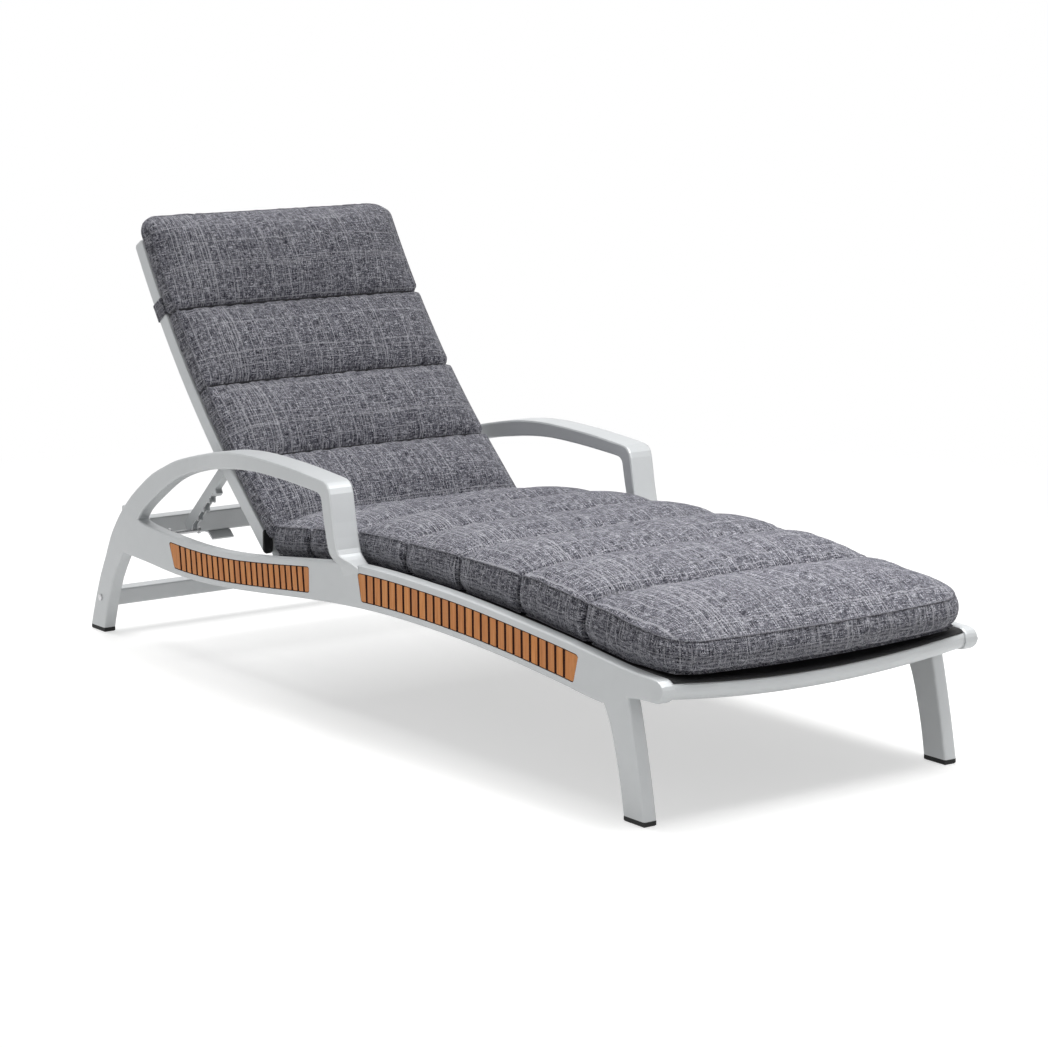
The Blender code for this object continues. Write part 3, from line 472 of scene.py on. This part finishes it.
def floor_finish():
    """Pale studio floor that keeps the chair's shadow and turns into the white background further out."""
    m = Shader("floor_finish", roughness=0.95)
    where = m.place()
    tone = m.ramp(m.noise(where, 1.5, 2.0), (0.3, (0.62, 0.62, 0.615)), (0.7, (0.64, 0.64, 0.635)))
    m.set({"Base Color": tone, "Specular IOR Level": 0.0})
    seen = m.seen()
    lift = m.add("Emission", {"Color": (1.0, 1.0, 0.998, 1.0), "Strength": m.times(seen, floor_lift)})
    near = m.add("AddShader", {0: m.surface.outputs[0], 1: lift.outputs[0]})
    far = m.add("Emission", {"Color": (1.0, 1.0, 1.0, 1.0), "Strength": 1.0})
    apart = m.add("VectorMath", {0: where}, operation="LENGTH").outputs["Value"]
    fade = m.times(m.between(apart, white_from, white_to), seen)
    mixed = m.add("MixShader", {0: fade, 1: near.outputs[0], 2: far.outputs[0]})
    m.put(m.tree.nodes["Material Output"], {"Surface": mixed.outputs[0]})
    return m.material


def assign(thing, material):
    """Gives a thing one material, in place of what it had."""
    thing.data.materials.clear()
    thing.data.materials.append(material)


def linked(name, data):
    """A new object in the scene."""
    thing = bpy.data.objects.new(name, data)
    bpy.context.scene.collection.objects.link(thing)
    return thing


def add_piece(name, mesh, material, body):
    """A new piece with its finish, riding on a body."""
    piece = linked(name, mesh)
    assign(piece, material)
    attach(piece, body)
    return piece


def mesh_piece(name, points, faces, material, body, smooth=True):
    """A new piece from points and faces, its faces turned outwards."""
    mesh = bpy.data.meshes.new(name)
    mesh.from_pydata([tuple(p) for p in points], [], [tuple(f) for f in faces])
    bm = bmesh.new()
    bm.from_mesh(mesh)
    bmesh.ops.recalc_face_normals(bm, faces=bm.faces)
    bm.to_mesh(mesh)
    bm.free()
    if smooth:
        mesh.shade_smooth()
    return add_piece(name, mesh, material, body)


def lay_weave(mesh, places, domain="POINT"):
    """Puts cloth coordinates into a mesh's 'weave' attribute."""
    layer = mesh.attributes.new("weave", "FLOAT_VECTOR", domain)
    layer.data.foreach_set("vector", np.array(places, np.float32).ravel())


def back_point(s, forward):
    """A point beside the back tubes' line, s above the pivot, forward of it towards the person."""
    bent = max(0.0, s - back_straight)
    turn = back_slope + bent / back_arc_radius
    straight = min(s, back_straight)
    y = pivot.y + straight * cos(back_slope) + back_arc_radius * (sin(turn) - sin(back_slope))
    z = pivot.z + straight * sin(back_slope) + back_arc_radius * (cos(back_slope) - cos(turn))
    return y - forward * sin(turn), z + forward * cos(turn)


def lowest_line(node):
    """A CAD node's underside as matching arrays of y and z."""
    rows = {}
    for vertex in nodes[node].data.vertices:
        y = round(vertex.co.y, 4)
        rows[y] = min(rows.get(y, 9.0), vertex.co.z)
    ys = sorted(rows)
    return np.array(ys), np.array([rows[y] for y in ys])


def border(index):
    """The numbers along a grid's outline, in order."""
    return np.array([*index[0, :], *index[1:, -1], *index[-1, -2::-1], *index[-2:0:-1, 0]])


def rounded(x, powers):
    """A soft hump: 1 in the middle at x = 0, falling to 0 at x = 1 and x = -1."""
    return (1 - abs(x) ** powers[0]) ** powers[1]


def roll_rows(marks, length):
    """Rows' distances along a cushion, each row's share of its roll, and which rows are channels."""
    places, shares, seams = [], [], []
    last = len(marks) - 2
    for n, (low, high) in enumerate(zip(marks[:-1], marks[1:])):
        steps = max(least_rows, round((high - low) * length / cell))
        if n:
            seams.append(len(places))
        for k in range(steps):
            t = k / steps
            t = t - row_crowding * sin(2 * pi * t) / (2 * pi)
            places.append((low + (high - low) * t) * length)
            shares.append(0.5 + t / 2 if n == 0 else t / 2 if n == last else t)
    places.append(length)
    shares.append(0.5)
    return np.array(places), np.array(shares), seams


class Cushion:
    """A boxed cushion: rolls between sewn channels, a border round it and a flat underside.

    half_at, edge_at and rim_lift_at give the half width, the upper seam's height and the lower seam's
    lift at a distance from its front. place turns across, along and up into a point of the frame.
    """

    def __init__(self, length, half_at, edge_at, rim_lift_at, crown, marks, corners, pinch, dip, place):
        self.length, self.corners, self.pinch, self.place = length, corners, pinch, place
        self.rows, self.shares, self.seams = roll_rows(marks, length)
        widest = max(half_at(v) for v in (0.0, length / 2, length))
        steps = np.linspace(-1, 1, 2 * round(widest / cell) + 1)
        self.columns = steps * (1 + column_crowding - column_crowding * steps ** 2)
        top, low = [], []
        for v, share in zip(self.rows, self.shares):
            half = half_at(v)
            near = min(1.0, v / crown_run, (length - v) / crown_run)
            fall = rounded(1 - near, end_round)
            roll = rounded(2 * share - 1, roll_round)
            crease = max(np.exp(-((v - self.rows[seam]) / crease_run) ** 2) for seam in self.seams)
            for u in self.columns:
                drawn_in = np.sign(u) * pinch * crease * abs(u) ** pinch_power
                x, y = self.round_corner(u * half - drawn_in, v, half)
                across = rounded(u, side_round)
                height = edge_at(v) + crown * across * fall - valley_depth * (1 - roll) * across * fall
                top.append((x, y, height - dip * crease * (1 - across)))
                inside = min(half * (1 - abs(u)), v, length - v)
                low.append((x, y, rim_lift_at(v) * (1 - min(1.0, inside / rim_lift_run)) ** 2))
        self.top, self.low = np.array(top), np.array(low)
        self.index = np.arange(len(top)).reshape(len(self.rows), len(self.columns))

    def round_corner(self, x, v, half):
        """Moves a point near a corner of the plan onto a quarter disc."""
        for radius, depth, at_front in zip(self.corners, (v, self.length - v), (True, False)):
            a = (abs(x) - (half - radius)) / radius
            b = 1 - depth / radius
            if a > 0 and b > 0:
                a_new, b_new = a * (1 - b * b / 2) ** 0.5, b * (1 - a * a / 2) ** 0.5
                x = np.sign(x) * (half - radius + radius * a_new)
                moved = radius * (1 - b_new)
                v = moved if at_front else self.length - moved
        return x, v

    def build(self, name, material, body):
        """Shapes, inflates, sews and closes the cover."""
        size = self.index.size
        loop = border(self.index)
        rings = [loop] + [size + np.arange(len(loop)) + k * len(loop) for k in range(border_levels)]
        held = np.isin(self.index, self.index[self.seams, :]).ravel()
        held[loop] = True
        side_points, side_pins = self.shape_border(loop)
        points = np.concatenate([self.top, *side_points])
        pins = np.concatenate([np.where(held, 1.0, 0.0), *side_pins])
        faces, weave = self.top_and_border(rings)

        world = np.array([self.place(*p) for p in points])
        world = inflate(name, world, faces, pins)
        sewn = self.sewn_down()
        world[:size] += sewn
        self.rims = (world[rings[0]], world[rings[-1]])
        self.seam_lines = [world[row] - stitch_rise * sewn[row] for row in self.index[self.seams, :]]
        world = self.add_underside(world, rings, faces, weave)

        mesh = bpy.data.meshes.new(name)
        mesh.from_pydata(world.tolist(), [], [tuple(int(i) for i in f) for f in faces])
        lay_weave(mesh, weave, "CORNER")
        mesh.shade_smooth()
        piece = add_piece(name, mesh, material, body)
        return piece

    def shape_border(self, loop):
        """The border's rings of points below the upper seam, and which of them the simulation holds."""
        rim = self.top[loop]
        tangent = np.roll(rim, -1, axis=0) - np.roll(rim, 1, axis=0)
        outward = np.stack([tangent[:, 1], -tangent[:, 0], 0 * tangent[:, 0]], axis=1)
        outward /= np.linalg.norm(outward, axis=1)[:, None]
        n_cols = len(self.columns)
        row_of, col_of = loop // n_cols, loop % n_cols
        on_side = (col_of == 0) | (col_of == n_cols - 1)
        at_seam = on_side & np.isin(row_of, self.seams)
        near_seam = np.zeros(len(loop))
        for seam in self.seams:
            apart = (self.rows[row_of] - self.rows[seam]) / crease_run
            near_seam = np.maximum(near_seam, np.where(on_side, np.exp(-apart ** 2), 0.0))
        rings, pins = [], []
        for k in range(1, border_levels + 1):
            t = k / border_levels
            level = rim * (1 - t) + self.low[loop] * t
            swell = side_bulge * sin(pi * t) * (1 - near_seam) - self.pinch * near_seam * sin(pi * t)
            tuck = -low_tuck * t ** low_tuck_power
            rings.append(level + outward * (swell + tuck)[:, None])
            pins.append(np.where(at_seam & (t < seam_hold), 1.0, 1.0 if k == border_levels else 0.0))
        return rings, pins

    def top_and_border(self, rings):
        """Faces of the top panel and the border, with each corner's place on the cloth."""
        index = self.index
        faces, weave = [], []
        across, along = self.grid_lengths()
        for i in range(index.shape[0] - 1):
            for j in range(index.shape[1] - 1):
                for a, b in ((i, j), (i, j + 1), (i + 1, j + 1), (i + 1, j)):
                    weave.append((across[a, b], along[a], 0))
                faces.append((index[i, j], index[i, j + 1], index[i + 1, j + 1], index[i + 1, j]))
        rim = self.top[rings[0]]
        count = len(rim)
        run = np.concatenate([[0], np.cumsum(np.linalg.norm(np.roll(rim, -1, axis=0) - rim, axis=1))])
        depth = float(np.mean(rim[:, 2]))
        drop = [border_cloth + k / border_levels * depth for k in range(border_levels + 1)]
        for k in range(border_levels):
            for i in range(count):
                j = (i + 1) % count
                faces.append((rings[k][j], rings[k][i], rings[k + 1][i], rings[k + 1][j]))
                weave += [(run[i + 1], drop[k], 1), (run[i], drop[k], 1),
                          (run[i], drop[k + 1], 1), (run[i + 1], drop[k + 1], 1)]
        return faces, weave

    def add_underside(self, world, rings, faces, weave):
        """Adds the flat underside's points inside the lower seam, and its faces."""
        on_rim = {int(a): int(b) for a, b in zip(rings[0], rings[-1])}
        inner = [i for i in range(self.index.size) if i not in on_rim]
        under = {**on_rim, **{i: len(world) + n for n, i in enumerate(inner)}}
        for i in range(self.index.shape[0] - 1):
            for j in range(self.index.shape[1] - 1):
                corners = ((i, j), (i + 1, j), (i + 1, j + 1), (i, j + 1))
                quad = [int(self.index[corner]) for corner in corners]
                faces.append(tuple(under[q] for q in quad))
                weave += [(self.top[q][0], self.top[q][1] + under_cloth, 2) for q in quad]
        return np.concatenate([world, [self.place(*self.low[i]) for i in inner]])

    def sewn_down(self):
        """How far the stitches of the nearest channel draw in each point of the top."""
        moves = []
        for v in self.rows:
            apart = min(abs(v - self.rows[seam]) for seam in self.seams)
            inwards = np.array(self.place(0.1, v, 0.0)) - np.array(self.place(0.1, v, 1.0))
            for u in self.columns:
                depth = groove_drop * np.exp(-apart / groove_run) * (1 - abs(u) ** groove_power)
                moves.append(inwards * depth)
        return np.array(moves)

    def grid_lengths(self):
        """Cloth coordinates of the top panel, measured on the cloth from its middle line and front."""
        grid = self.top.reshape(*self.index.shape, 3)
        step_along = np.linalg.norm(np.diff(grid, axis=0), axis=2).mean(axis=1)
        along = np.concatenate([[0], np.cumsum(step_along)])
        step_across = np.linalg.norm(np.diff(grid, axis=1), axis=2)
        across = np.concatenate([np.zeros((grid.shape[0], 1)), np.cumsum(step_across, axis=1)], axis=1)
        return across - across[:, grid.shape[1] // 2][:, None], along


def inflate(name, points, faces, pins):
    """Cloth simulation of a cover: pinned along its seams, pushed out from inside, a little too large."""
    mesh = bpy.data.meshes.new(name + "_rest")
    rippled = [Vector(p) + rest_ripple * noise.noise_vector(Vector(p) * ripple_scale) for p in points]
    start = [w if pin < 0.5 else Vector(p) for w, p, pin in zip(rippled, points, pins)]
    mesh.from_pydata([tuple(p) for p in start], [], [tuple(int(i) for i in f) for f in faces])
    cover = linked(name + "_rest", mesh)
    group = cover.vertex_groups.new(name="pins")
    group.add([int(i) for i in np.nonzero(pins > 0.5)[0]], 1.0, "REPLACE")
    cloth = cover.modifiers.new("cloth", "CLOTH")
    for key, value in cloth_settings.items():
        setattr(cloth.settings, key, value)
    cloth.settings.vertex_group_mass = group.name
    cloth.settings.effector_weights.gravity = 0.0
    cloth.collision_settings.use_collision = False
    cloth.collision_settings.use_self_collision = False
    cloth.point_cache.frame_start = 1
    cloth.point_cache.frame_end = cloth_frames
    scene = bpy.context.scene
    for step in range(1, cloth_frames + 1):
        scene.frame_set(step)
    result = cover.evaluated_get(bpy.context.evaluated_depsgraph_get())
    moved = np.empty(len(points) * 3, np.float32)
    result.to_mesh().vertices.foreach_get("co", moved)
    result.to_mesh_clear()
    scene.frame_set(1)
    bpy.data.objects.remove(cover, do_unlink=True)
    bpy.data.meshes.remove(mesh)
    shift = moved.reshape(-1, 3).astype(float) - points
    reach = np.linalg.norm(shift, axis=1)
    print("inflate", name, "mean %.4f max %.4f" % (reach.mean(), reach.max()))
    return points + shift * np.minimum(1.0, most_swell / np.maximum(reach, 1e-9))[:, None]


def seat_cushion(cover, thread):
    """The seat's cushion: wider towards the foot end, its front end lying a little over the foot tube."""
    low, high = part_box("seat_cushion")
    line_y, line_z = lowest_line("seat_cushion")
    length = high.y - low.y

    def half_at(v):
        return seat_half_rear + (seat_half_front - seat_half_rear) * (1 - v / length) ** seat_flare

    def edge_at(v):
        return float(np.interp(v, seat_edge_places, seat_edge_heights))

    def rim_lift_at(v):
        return seat_rim_lift * max(0.0, 1 - v / seat_rim_lift_run)

    def place(x, v, height):
        y = low.y + v
        front = max(0.0, 1 - v / seat_sag_run) ** 2
        sag = seat_front_sag * (1 - min(1.0, abs(x) / seat_half_front) ** 2) * front
        base = float(np.interp(y, line_y, line_z))
        return x, y - seat_front_reach * front, base + height - sag * (1 - seat_sag_loss * height / seat_edge)

    shape = Cushion(length, half_at, edge_at, rim_lift_at, seat_crown, seat_marks,
                    (seat_corner, seat_end_corner), seat_pinch, seat_crease_dip, place)
    piece = shape.build("seat_cushion_cover", cover, "base")
    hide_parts("seat_cushion")
    add_welts(shape, "seat", cover, "base")
    add_stitch_shade(shape, "seat", thread, "base")


def back_cushion(cover, thread):
    """The back's cushion: along the back's tubes, from behind the seat's to a little above their ends."""
    base = back_tube_depth / 2 + back_gap
    foot_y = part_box("back_cushion")[0].y
    rise = base + back_edge
    start = (foot_y - pivot.y + rise * sin(back_slope)) / cos(back_slope)
    length = back_length + back_beyond - start

    def edge_at(v):
        near = min(1.0, (length - v) / back_edge)
        return back_edge * (back_edge_low + (1 - back_edge_low) * (1 - (1 - near) ** 2) ** 0.5)

    def place(x, v, height):
        y, z = back_point(start + v, base + height)
        if v < length / 6:
            y = max(y, foot_y)
        return x, y, z

    shape = Cushion(length, lambda v: back_half, edge_at, lambda v: back_rim_lift, back_crown, back_marks,
                    (back_foot_corner, back_corner), back_pinch, back_crease_dip, place)
    piece = shape.build("back_cushion_cover", cover, "back")
    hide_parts("back_cushion")
    add_welts(shape, "back", cover, "back")
    add_stitch_shade(shape, "back", thread, "back")


def tube_along(points, radius, closed=True, around=6):
    """Points and faces of a thin tube through a list of points."""
    points = [Vector(p) for p in points]
    count = len(points)
    rings = []
    for i, point in enumerate(points):
        ahead = points[(i + 1) % count] if closed else points[min(i + 1, count - 1)]
        behind = points[i - 1] if closed or i else points[0]
        tangent = (ahead - behind).normalized()
        side = tangent.cross(Vector((0.0, 0.0, 1.0)))
        side = side.normalized() if side.length > 1e-4 else Vector((1.0, 0.0, 0.0))
        rise = side.cross(tangent)
        for k in range(around):
            turn = 2 * pi * k / around
            rings.append(point + radius * (side * cos(turn) + rise * sin(turn)))
    faces = []
    for i in range(count if closed else count - 1):
        for k in range(around):
            a, b = i * around, ((i + 1) % count) * around
            faces.append((a + k, a + (k + 1) % around, b + (k + 1) % around, b + k))
    if not closed:
        faces.append(tuple(range(around)))
        faces.append(tuple((count - 1) * around + k for k in reversed(range(around))))
    return rings, faces


def add_welts(shape, name, cover, body):
    """Sewn ridges along the cushion's upper and lower edges."""
    for word, rim in zip(("upper", "lower"), shape.rims):
        points, faces = tube_along(rim, welt_radius)
        piece = mesh_piece(f"{name}_welt_{word}", points, faces, cover, body)
        lay_weave(piece.data, [(p.x * welt_cloth + p.z, p.y * welt_cloth, 0.0) for p in points])


def add_stitch_shade(shape, name, thread, body):
    """The dark line of stitches low in each channel: a thick dark tube, partly the channel's painted shade."""
    points, faces = [], []
    for line in shape.seam_lines:
        new_points, new_faces = tube_along(line[1:-1], stitch_shade_radius, closed=False)
        faces += [tuple(len(points) + i for i in face) for face in new_faces]
        points += new_points
    mesh_piece(f"{name}_channel_stitch_shade", points, faces, thread, body)


def closed_sheet(name, grid, thickness, cloth, body, column_step=None):
    """A thin closed sheet on both sides of a grid of points. Returns it and its length.

    The cloth's coordinates run along x from the middle, or by column_step from column to column.
    """
    grid = np.array(grid)
    rows, columns = grid.shape[:2]
    normal = np.cross(np.gradient(grid, axis=1), np.gradient(grid, axis=0))
    normal /= np.linalg.norm(normal, axis=2)[:, :, None]
    depth = thickness[:, :, None] / 2
    outwards = normal * depth
    points = np.concatenate([(grid + outwards).reshape(-1, 3), (grid - outwards).reshape(-1, 3)])
    index = np.arange(rows * columns).reshape(rows, columns)
    faces = []
    for i in range(rows - 1):
        for j in range(columns - 1):
            quad = (index[i, j], index[i, j + 1], index[i + 1, j + 1], index[i + 1, j])
            faces += [quad, tuple(q + index.size for q in reversed(quad))]
    loop = border(index)
    for a, b in zip(loop, np.roll(loop, -1)):
        faces.append((b, a, a + index.size, b + index.size))
    step = np.linalg.norm(np.diff(grid, axis=0), axis=2).mean(axis=1)
    along = np.concatenate([[0], np.cumsum(step)])
    piece = mesh_piece(name, points, faces, cloth, body)
    weave = [(j * column_step if column_step else grid[i, j, 0], along[i], 0.0)
             for i in range(rows) for j in range(columns)]
    lay_weave(piece.data, weave + weave)
    return piece, float(along[-1])


def hem_thickness(rows, half):
    """A sling's thickness: double along both long edges, where it is folded over and sewn."""
    across = np.linspace(-half, half, sling_columns)
    ramp = np.clip((np.abs(across) - (half - sling_hem)) / sling_hem_fade, 0.0, 1.0)
    thickness = sling_plain + (2 * sling_half_thickness - sling_plain) * ramp
    return np.broadcast_to(thickness, (rows, sling_columns))


def seat_sling(cloth):
    """The seat's sling: round the foot tube, then back over the bars, sagging a little between them."""
    mesh = nodes["seat_sling"].data
    corners = [v.co.copy() for v in mesh.vertices]
    tree = BVHTree.FromPolygons(corners, [tuple(p.vertices) for p in mesh.polygons])
    tube = {}
    for vertex in nodes["foot_tube"].data.vertices:
        tube.setdefault(round(vertex.co.x, 3), []).append(vertex.co)
    tube_x = np.array(sorted(x for x in tube if len(tube[x]) > 3))
    tube_y = np.mean([sum(p.y for p in tube[x]) / len(tube[x]) for x in tube_x])
    tube_z = np.array([sum(p.z for p in tube[x]) / len(tube[x]) for x in tube_x])
    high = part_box("seat_sling")[1]
    half = high.x - sling_inset
    columns = np.linspace(-half, half, sling_columns)
    flat_rows = np.linspace(tube_y + seat_flat_start, high.y - sling_inset, seat_flat_rows)
    grid = []
    for angle in np.linspace(*seat_wrap_angles, seat_wrap_rows):
        turn = radians(180 - angle)
        way = Vector((0.0, cos(turn), sin(turn)))
        row = []
        for x in columns:
            centre = Vector((x, tube_y, float(np.interp(x, tube_x, tube_z))))
            hit = tree.ray_cast(centre + way * ray_reach, -way, ray_reach)
            place = hit[0] if hit[0] else centre + way * seat_wrap_radius
            row.append(tuple(place - way * sling_half_thickness))
        if not grid or row[0][1] < flat_rows[0]:
            grid.append(row)
    bars = [sum(c.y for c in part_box(name)) / 2 for name in ("seat_middle_bar", "seat_rear_bar")]
    spans = ((tube_y + tube_clearance, bars[0] - bar_clearance),
             (bars[0] + bar_clearance, bars[1] - bar_clearance))
    for y in flat_rows:
        row = []
        for x in columns:
            hit = tree.ray_cast(Vector((x, y, 1.0)), Vector((0.0, 0.0, -1.0)), 2.0)
            z = hit[0].z - sling_half_thickness if hit[0] else row[-1][2]
            for start, end in spans:
                if start < y < end:
                    z -= seat_sling_sag * sin(pi * (y - start) / (end - start)) * (1 - (x / half) ** 2)
            row.append((x, y, z))
        grid.append(row)
    grid = [row for n, row in enumerate(grid) if n == 0 or row[0][1] > grid[n - 1][0][1] + least_row_step]
    piece, length = closed_sheet("seat_sling_sheet", grid, hem_thickness(len(grid), half), cloth, "base")
    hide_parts("seat_sling")


def back_sling(cloth):
    """The back's sling between the tubes, drawn back a little between the rails."""
    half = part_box("back_sling")[1].x - sling_inset
    grid = []
    first, last = back_sling_start + back_sling_trim, back_sling_end - back_sling_trim
    for s in np.linspace(first, last, back_sling_rows):
        sag = 0.0
        for a, b in zip(back_rail_places[:-1], back_rail_places[1:]):
            if a + bar_clearance < s < b - bar_clearance:
                sag = back_sling_sag * sin(pi * (s - a - bar_clearance) / (b - a - 2 * bar_clearance))
        front = back_tube_depth / 2 - sling_half_thickness
        grid.append([(x, *back_point(s, front - sag * (1 - (x / half) ** 2)))
                     for x in np.linspace(-half, half, sling_columns)])
    piece, length = closed_sheet("back_sling_sheet", grid, hem_thickness(len(grid), half), cloth, "back")
    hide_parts("back_sling")


def strap_path():
    """Places along a strap, from the cushion round the tube: out from the middle, forward of the tube."""
    front = back_tube_depth / 2
    middle = strap_gap + strap_room / 2
    outer = back_half + middle
    corners = [(back_half - strap_ends[0], front + middle), (outer - strap_bend, front + middle),
               (outer - strap_bend_cut, front + strap_bend_cut), (outer, front - strap_bend),
               (outer, strap_bend - front), (outer - strap_bend_cut, -front - strap_bend_cut),
               (outer - strap_bend, -front - middle),
               (back_half - back_tube_width + strap_ends[1], -front - middle)]
    path = []
    for (x0, f0), (x1, f1) in zip(corners[:-1], corners[1:]):
        steps = max(1, round(((x1 - x0) ** 2 + (f1 - f0) ** 2) ** 0.5 / strap_step))
        path += [(x0 + (x1 - x0) * k / steps, f0 + (f1 - f0) * k / steps) for k in range(steps)]
    return path + [corners[-1]]


def straps(cover):
    """Bands of the cover's cloth from the back cushion's border round each tube, their edges sewn down."""
    path = strap_path()
    widths = np.linspace(-strap_width / 2, strap_width / 2, strap_columns)
    from_edge = strap_width / 2 - np.abs(widths)
    folded = np.clip((strap_hem - from_edge) / strap_hem_fade, 0.0, 1.0)
    sewn = folded * np.clip(from_edge / strap_edge_fade, 0.0, 1.0)
    thick = np.broadcast_to(strap_plain + strap_fold * sewn, (len(path), len(widths)))
    middle = back_length * strap_share
    for word, side in sides:
        grid = []
        for n, (x, forward) in enumerate(path):
            bow = strap_bow * sin(n * strap_bow_turn)
            grid.append([(side * (x + bow), *back_point(middle + w, forward)) for w in widths])
        if side > 0:
            grid = [row[::-1] for row in grid]
        piece, length = closed_sheet(f"strap_band_{word}", grid, thick, cover, "back",
                                     strap_step)
        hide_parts(f"cushion_strap_{word}")


def floor_and_light():
    """The floor, a background that is white to the camera and dimmer as a light, and the lamps."""
    mesh = bpy.data.meshes.new("floor")
    reach = floor_reach
    mesh.from_pydata([(-reach, -reach, 0), (reach, -reach, 0), (reach, reach, 0), (-reach, reach, 0)], [],
                     [(0, 1, 2, 3)])
    floor = linked("floor", mesh)
    assign(floor, floor_finish())

    world = bpy.data.worlds.new("studio")
    bpy.context.scene.world = world
    world.use_nodes = True
    w = Nodes(world.node_tree)
    w.put(w.tree.nodes["Background"], {"Color": (1.0, 1.0, 1.0, 1.0),
                                       "Strength": w.between(w.seen(), 0.0, 1.0, studio_level, 1.0)})

    for name, place, aim, size, power in lamps:
        light = bpy.data.lights.new(name, "AREA")
        light.shape = "SQUARE"
        light.size = size
        light.energy = power
        lamp = linked(name, light)
        lamp.visible_glossy = name != "overhead"
        lamp.location = place
        lamp.rotation_euler = (Vector(place) - Vector(aim)).to_track_quat("Z", "Y").to_euler()


def camera():
    """The photograph's view: a long lens a little above the arms, from the foot end's right."""
    lens = bpy.data.cameras.new("camera")
    lens.lens = camera_lens
    lens.sensor_width = camera_sensor
    lens.dof.use_dof = False
    thing = linked("camera", lens)
    thing.location = camera_place
    thing.rotation_euler = camera_turn
    bpy.context.scene.camera = thing


def slat_corners(node):
    """Corners (y, z) of each slat's outer face of a CAD inlay, from the foot end on, and the face's x."""
    mesh = nodes[node].data
    outer = max(abs(v.co.x) for v in mesh.vertices)
    linked_to = {}
    for polygon in mesh.polygons:
        corners = [mesh.vertices[i].co for i in polygon.vertices]
        if all(abs(c.x) > outer - slat_tolerance for c in corners):
            keys = [(round(c.y, 5), round(c.z, 5)) for c in corners]
            for key in keys:
                linked_to.setdefault(key, set()).update(keys)
    slats, done = [], set()
    for key in linked_to:
        if key in done:
            continue
        group, queue = set(), [key]
        while queue:
            here = queue.pop()
            if here not in group:
                group.add(here)
                queue += linked_to[here]
        done |= group
        slats.append(sorted(group))
    return sorted(slats), outer


def round_ring(ring):
    """Rounds the sharp corners of a convex outline in the side view; corners already rounded stay."""
    result = []
    ring = [Vector(p) for p in ring]
    for i, here in enumerate(ring):
        before, after = ring[i - 1] - here, ring[(i + 1) % len(ring)] - here
        shorter = min(before.length, after.length)
        if shorter < slat_short_side or before.angle(after) > slat_blunt_angle:
            result.append(tuple(here))
            continue
        start, end = here + before.normalized() * slat_corner, here + after.normalized() * slat_corner
        for t in (0.0, 1 / 3, 2 / 3, 1.0):
            result.append(tuple((1 - t) ** 2 * start + 2 * t * (1 - t) * here + t * t * end))
    return result


def slat_outline(corners):
    """A slat's rounded outline, a little smaller than its place in the CAD inlay, and its centre."""
    corners = np.array(corners)
    centre = corners.mean(axis=0)
    ring = sorted(corners.tolist(), key=lambda p: np.arctan2(p[1] - centre[1], p[0] - centre[0]))
    spread = np.ptp(corners, axis=0) / 2
    shrink = 1 - np.array([slat_gap_side, slat_gap_end]) / spread
    return [centre + (np.array(p) - centre) * shrink for p in round_ring(ring)], centre


def teak_slats(wood, dark):
    """Bevelled slats laid over the outer faces of each CAD inlay, whose own body is their bed in painted shade.

    Each slat has a number of its own: from 50 on at the rear, and 100 higher on the left side.
    """
    for word, side in sides:
        for place, first_number in (("front", 0), ("rear", 50)):
            node = f"teak_inlay_{place}_{word}"
            # The inlay's own body takes the painted shade seen in the gaps between the slats
            assign(nodes[node], dark)
            slats, outer = slat_corners(node)
            levels = ((0.0, outer - slat_depth), (0.0, outer - slat_proud / 2),
                      (slat_bevel, outer + slat_proud))
            points, faces, numbers = [], [], []
            for number, corners in enumerate(slats):
                outline, centre = slat_outline(corners)
                start, count = len(points), len(outline)
                for inset, x in levels:
                    points += [(side * x, *(p + np.sign(centre - p) * inset)) for p in outline]
                    numbers += [number + first_number + 100 * (side > 0)] * count
                for a in (start, start + count):
                    for i in range(count):
                        j = (i + 1) % count
                        faces.append((a + i, a + j, a + count + j, a + count + i))
                faces.append(tuple(start + 2 * count + i for i in range(count)))
                faces.append(tuple(start + i for i in reversed(range(count))))
            piece = mesh_piece(f"teak_slats_{place}_{word}", points, faces, wood, "base",
                               smooth=False)
            layer = piece.data.attributes.new("slat", "FLOAT", "POINT")
            layer.data.foreach_set("value", np.array(numbers, np.float32))


def build():
    """Everything that is seen: the finishes on the CAD solids, the pieces over them and the studio."""
    finishes = {
        "powder_coat": powder_coat(), "stainless": stainless(), "teak": teak(), "rubber": rubber(),
        "black_plastic": black_plastic(), "black_sling": sling_cloth(), "grey_cover": cover_cloth(),
    }
    for subpart in frame["record"]["subparts"]:
        assign(nodes[subpart["node"]], finishes[subpart["material_slot"]])
    teak_slats(finishes["teak"], slat_gap_shade())
    thread = stitch_shade_thread()
    seat_cushion(finishes["grey_cover"], thread)
    back_cushion(finishes["grey_cover"], thread)
    seat_sling(finishes["black_sling"])
    back_sling(finishes["black_sling"])
    straps(finishes["grey_cover"])
    floor_and_light()
    camera()
    bpy.context.scene.view_settings.view_transform = "Standard"


build()
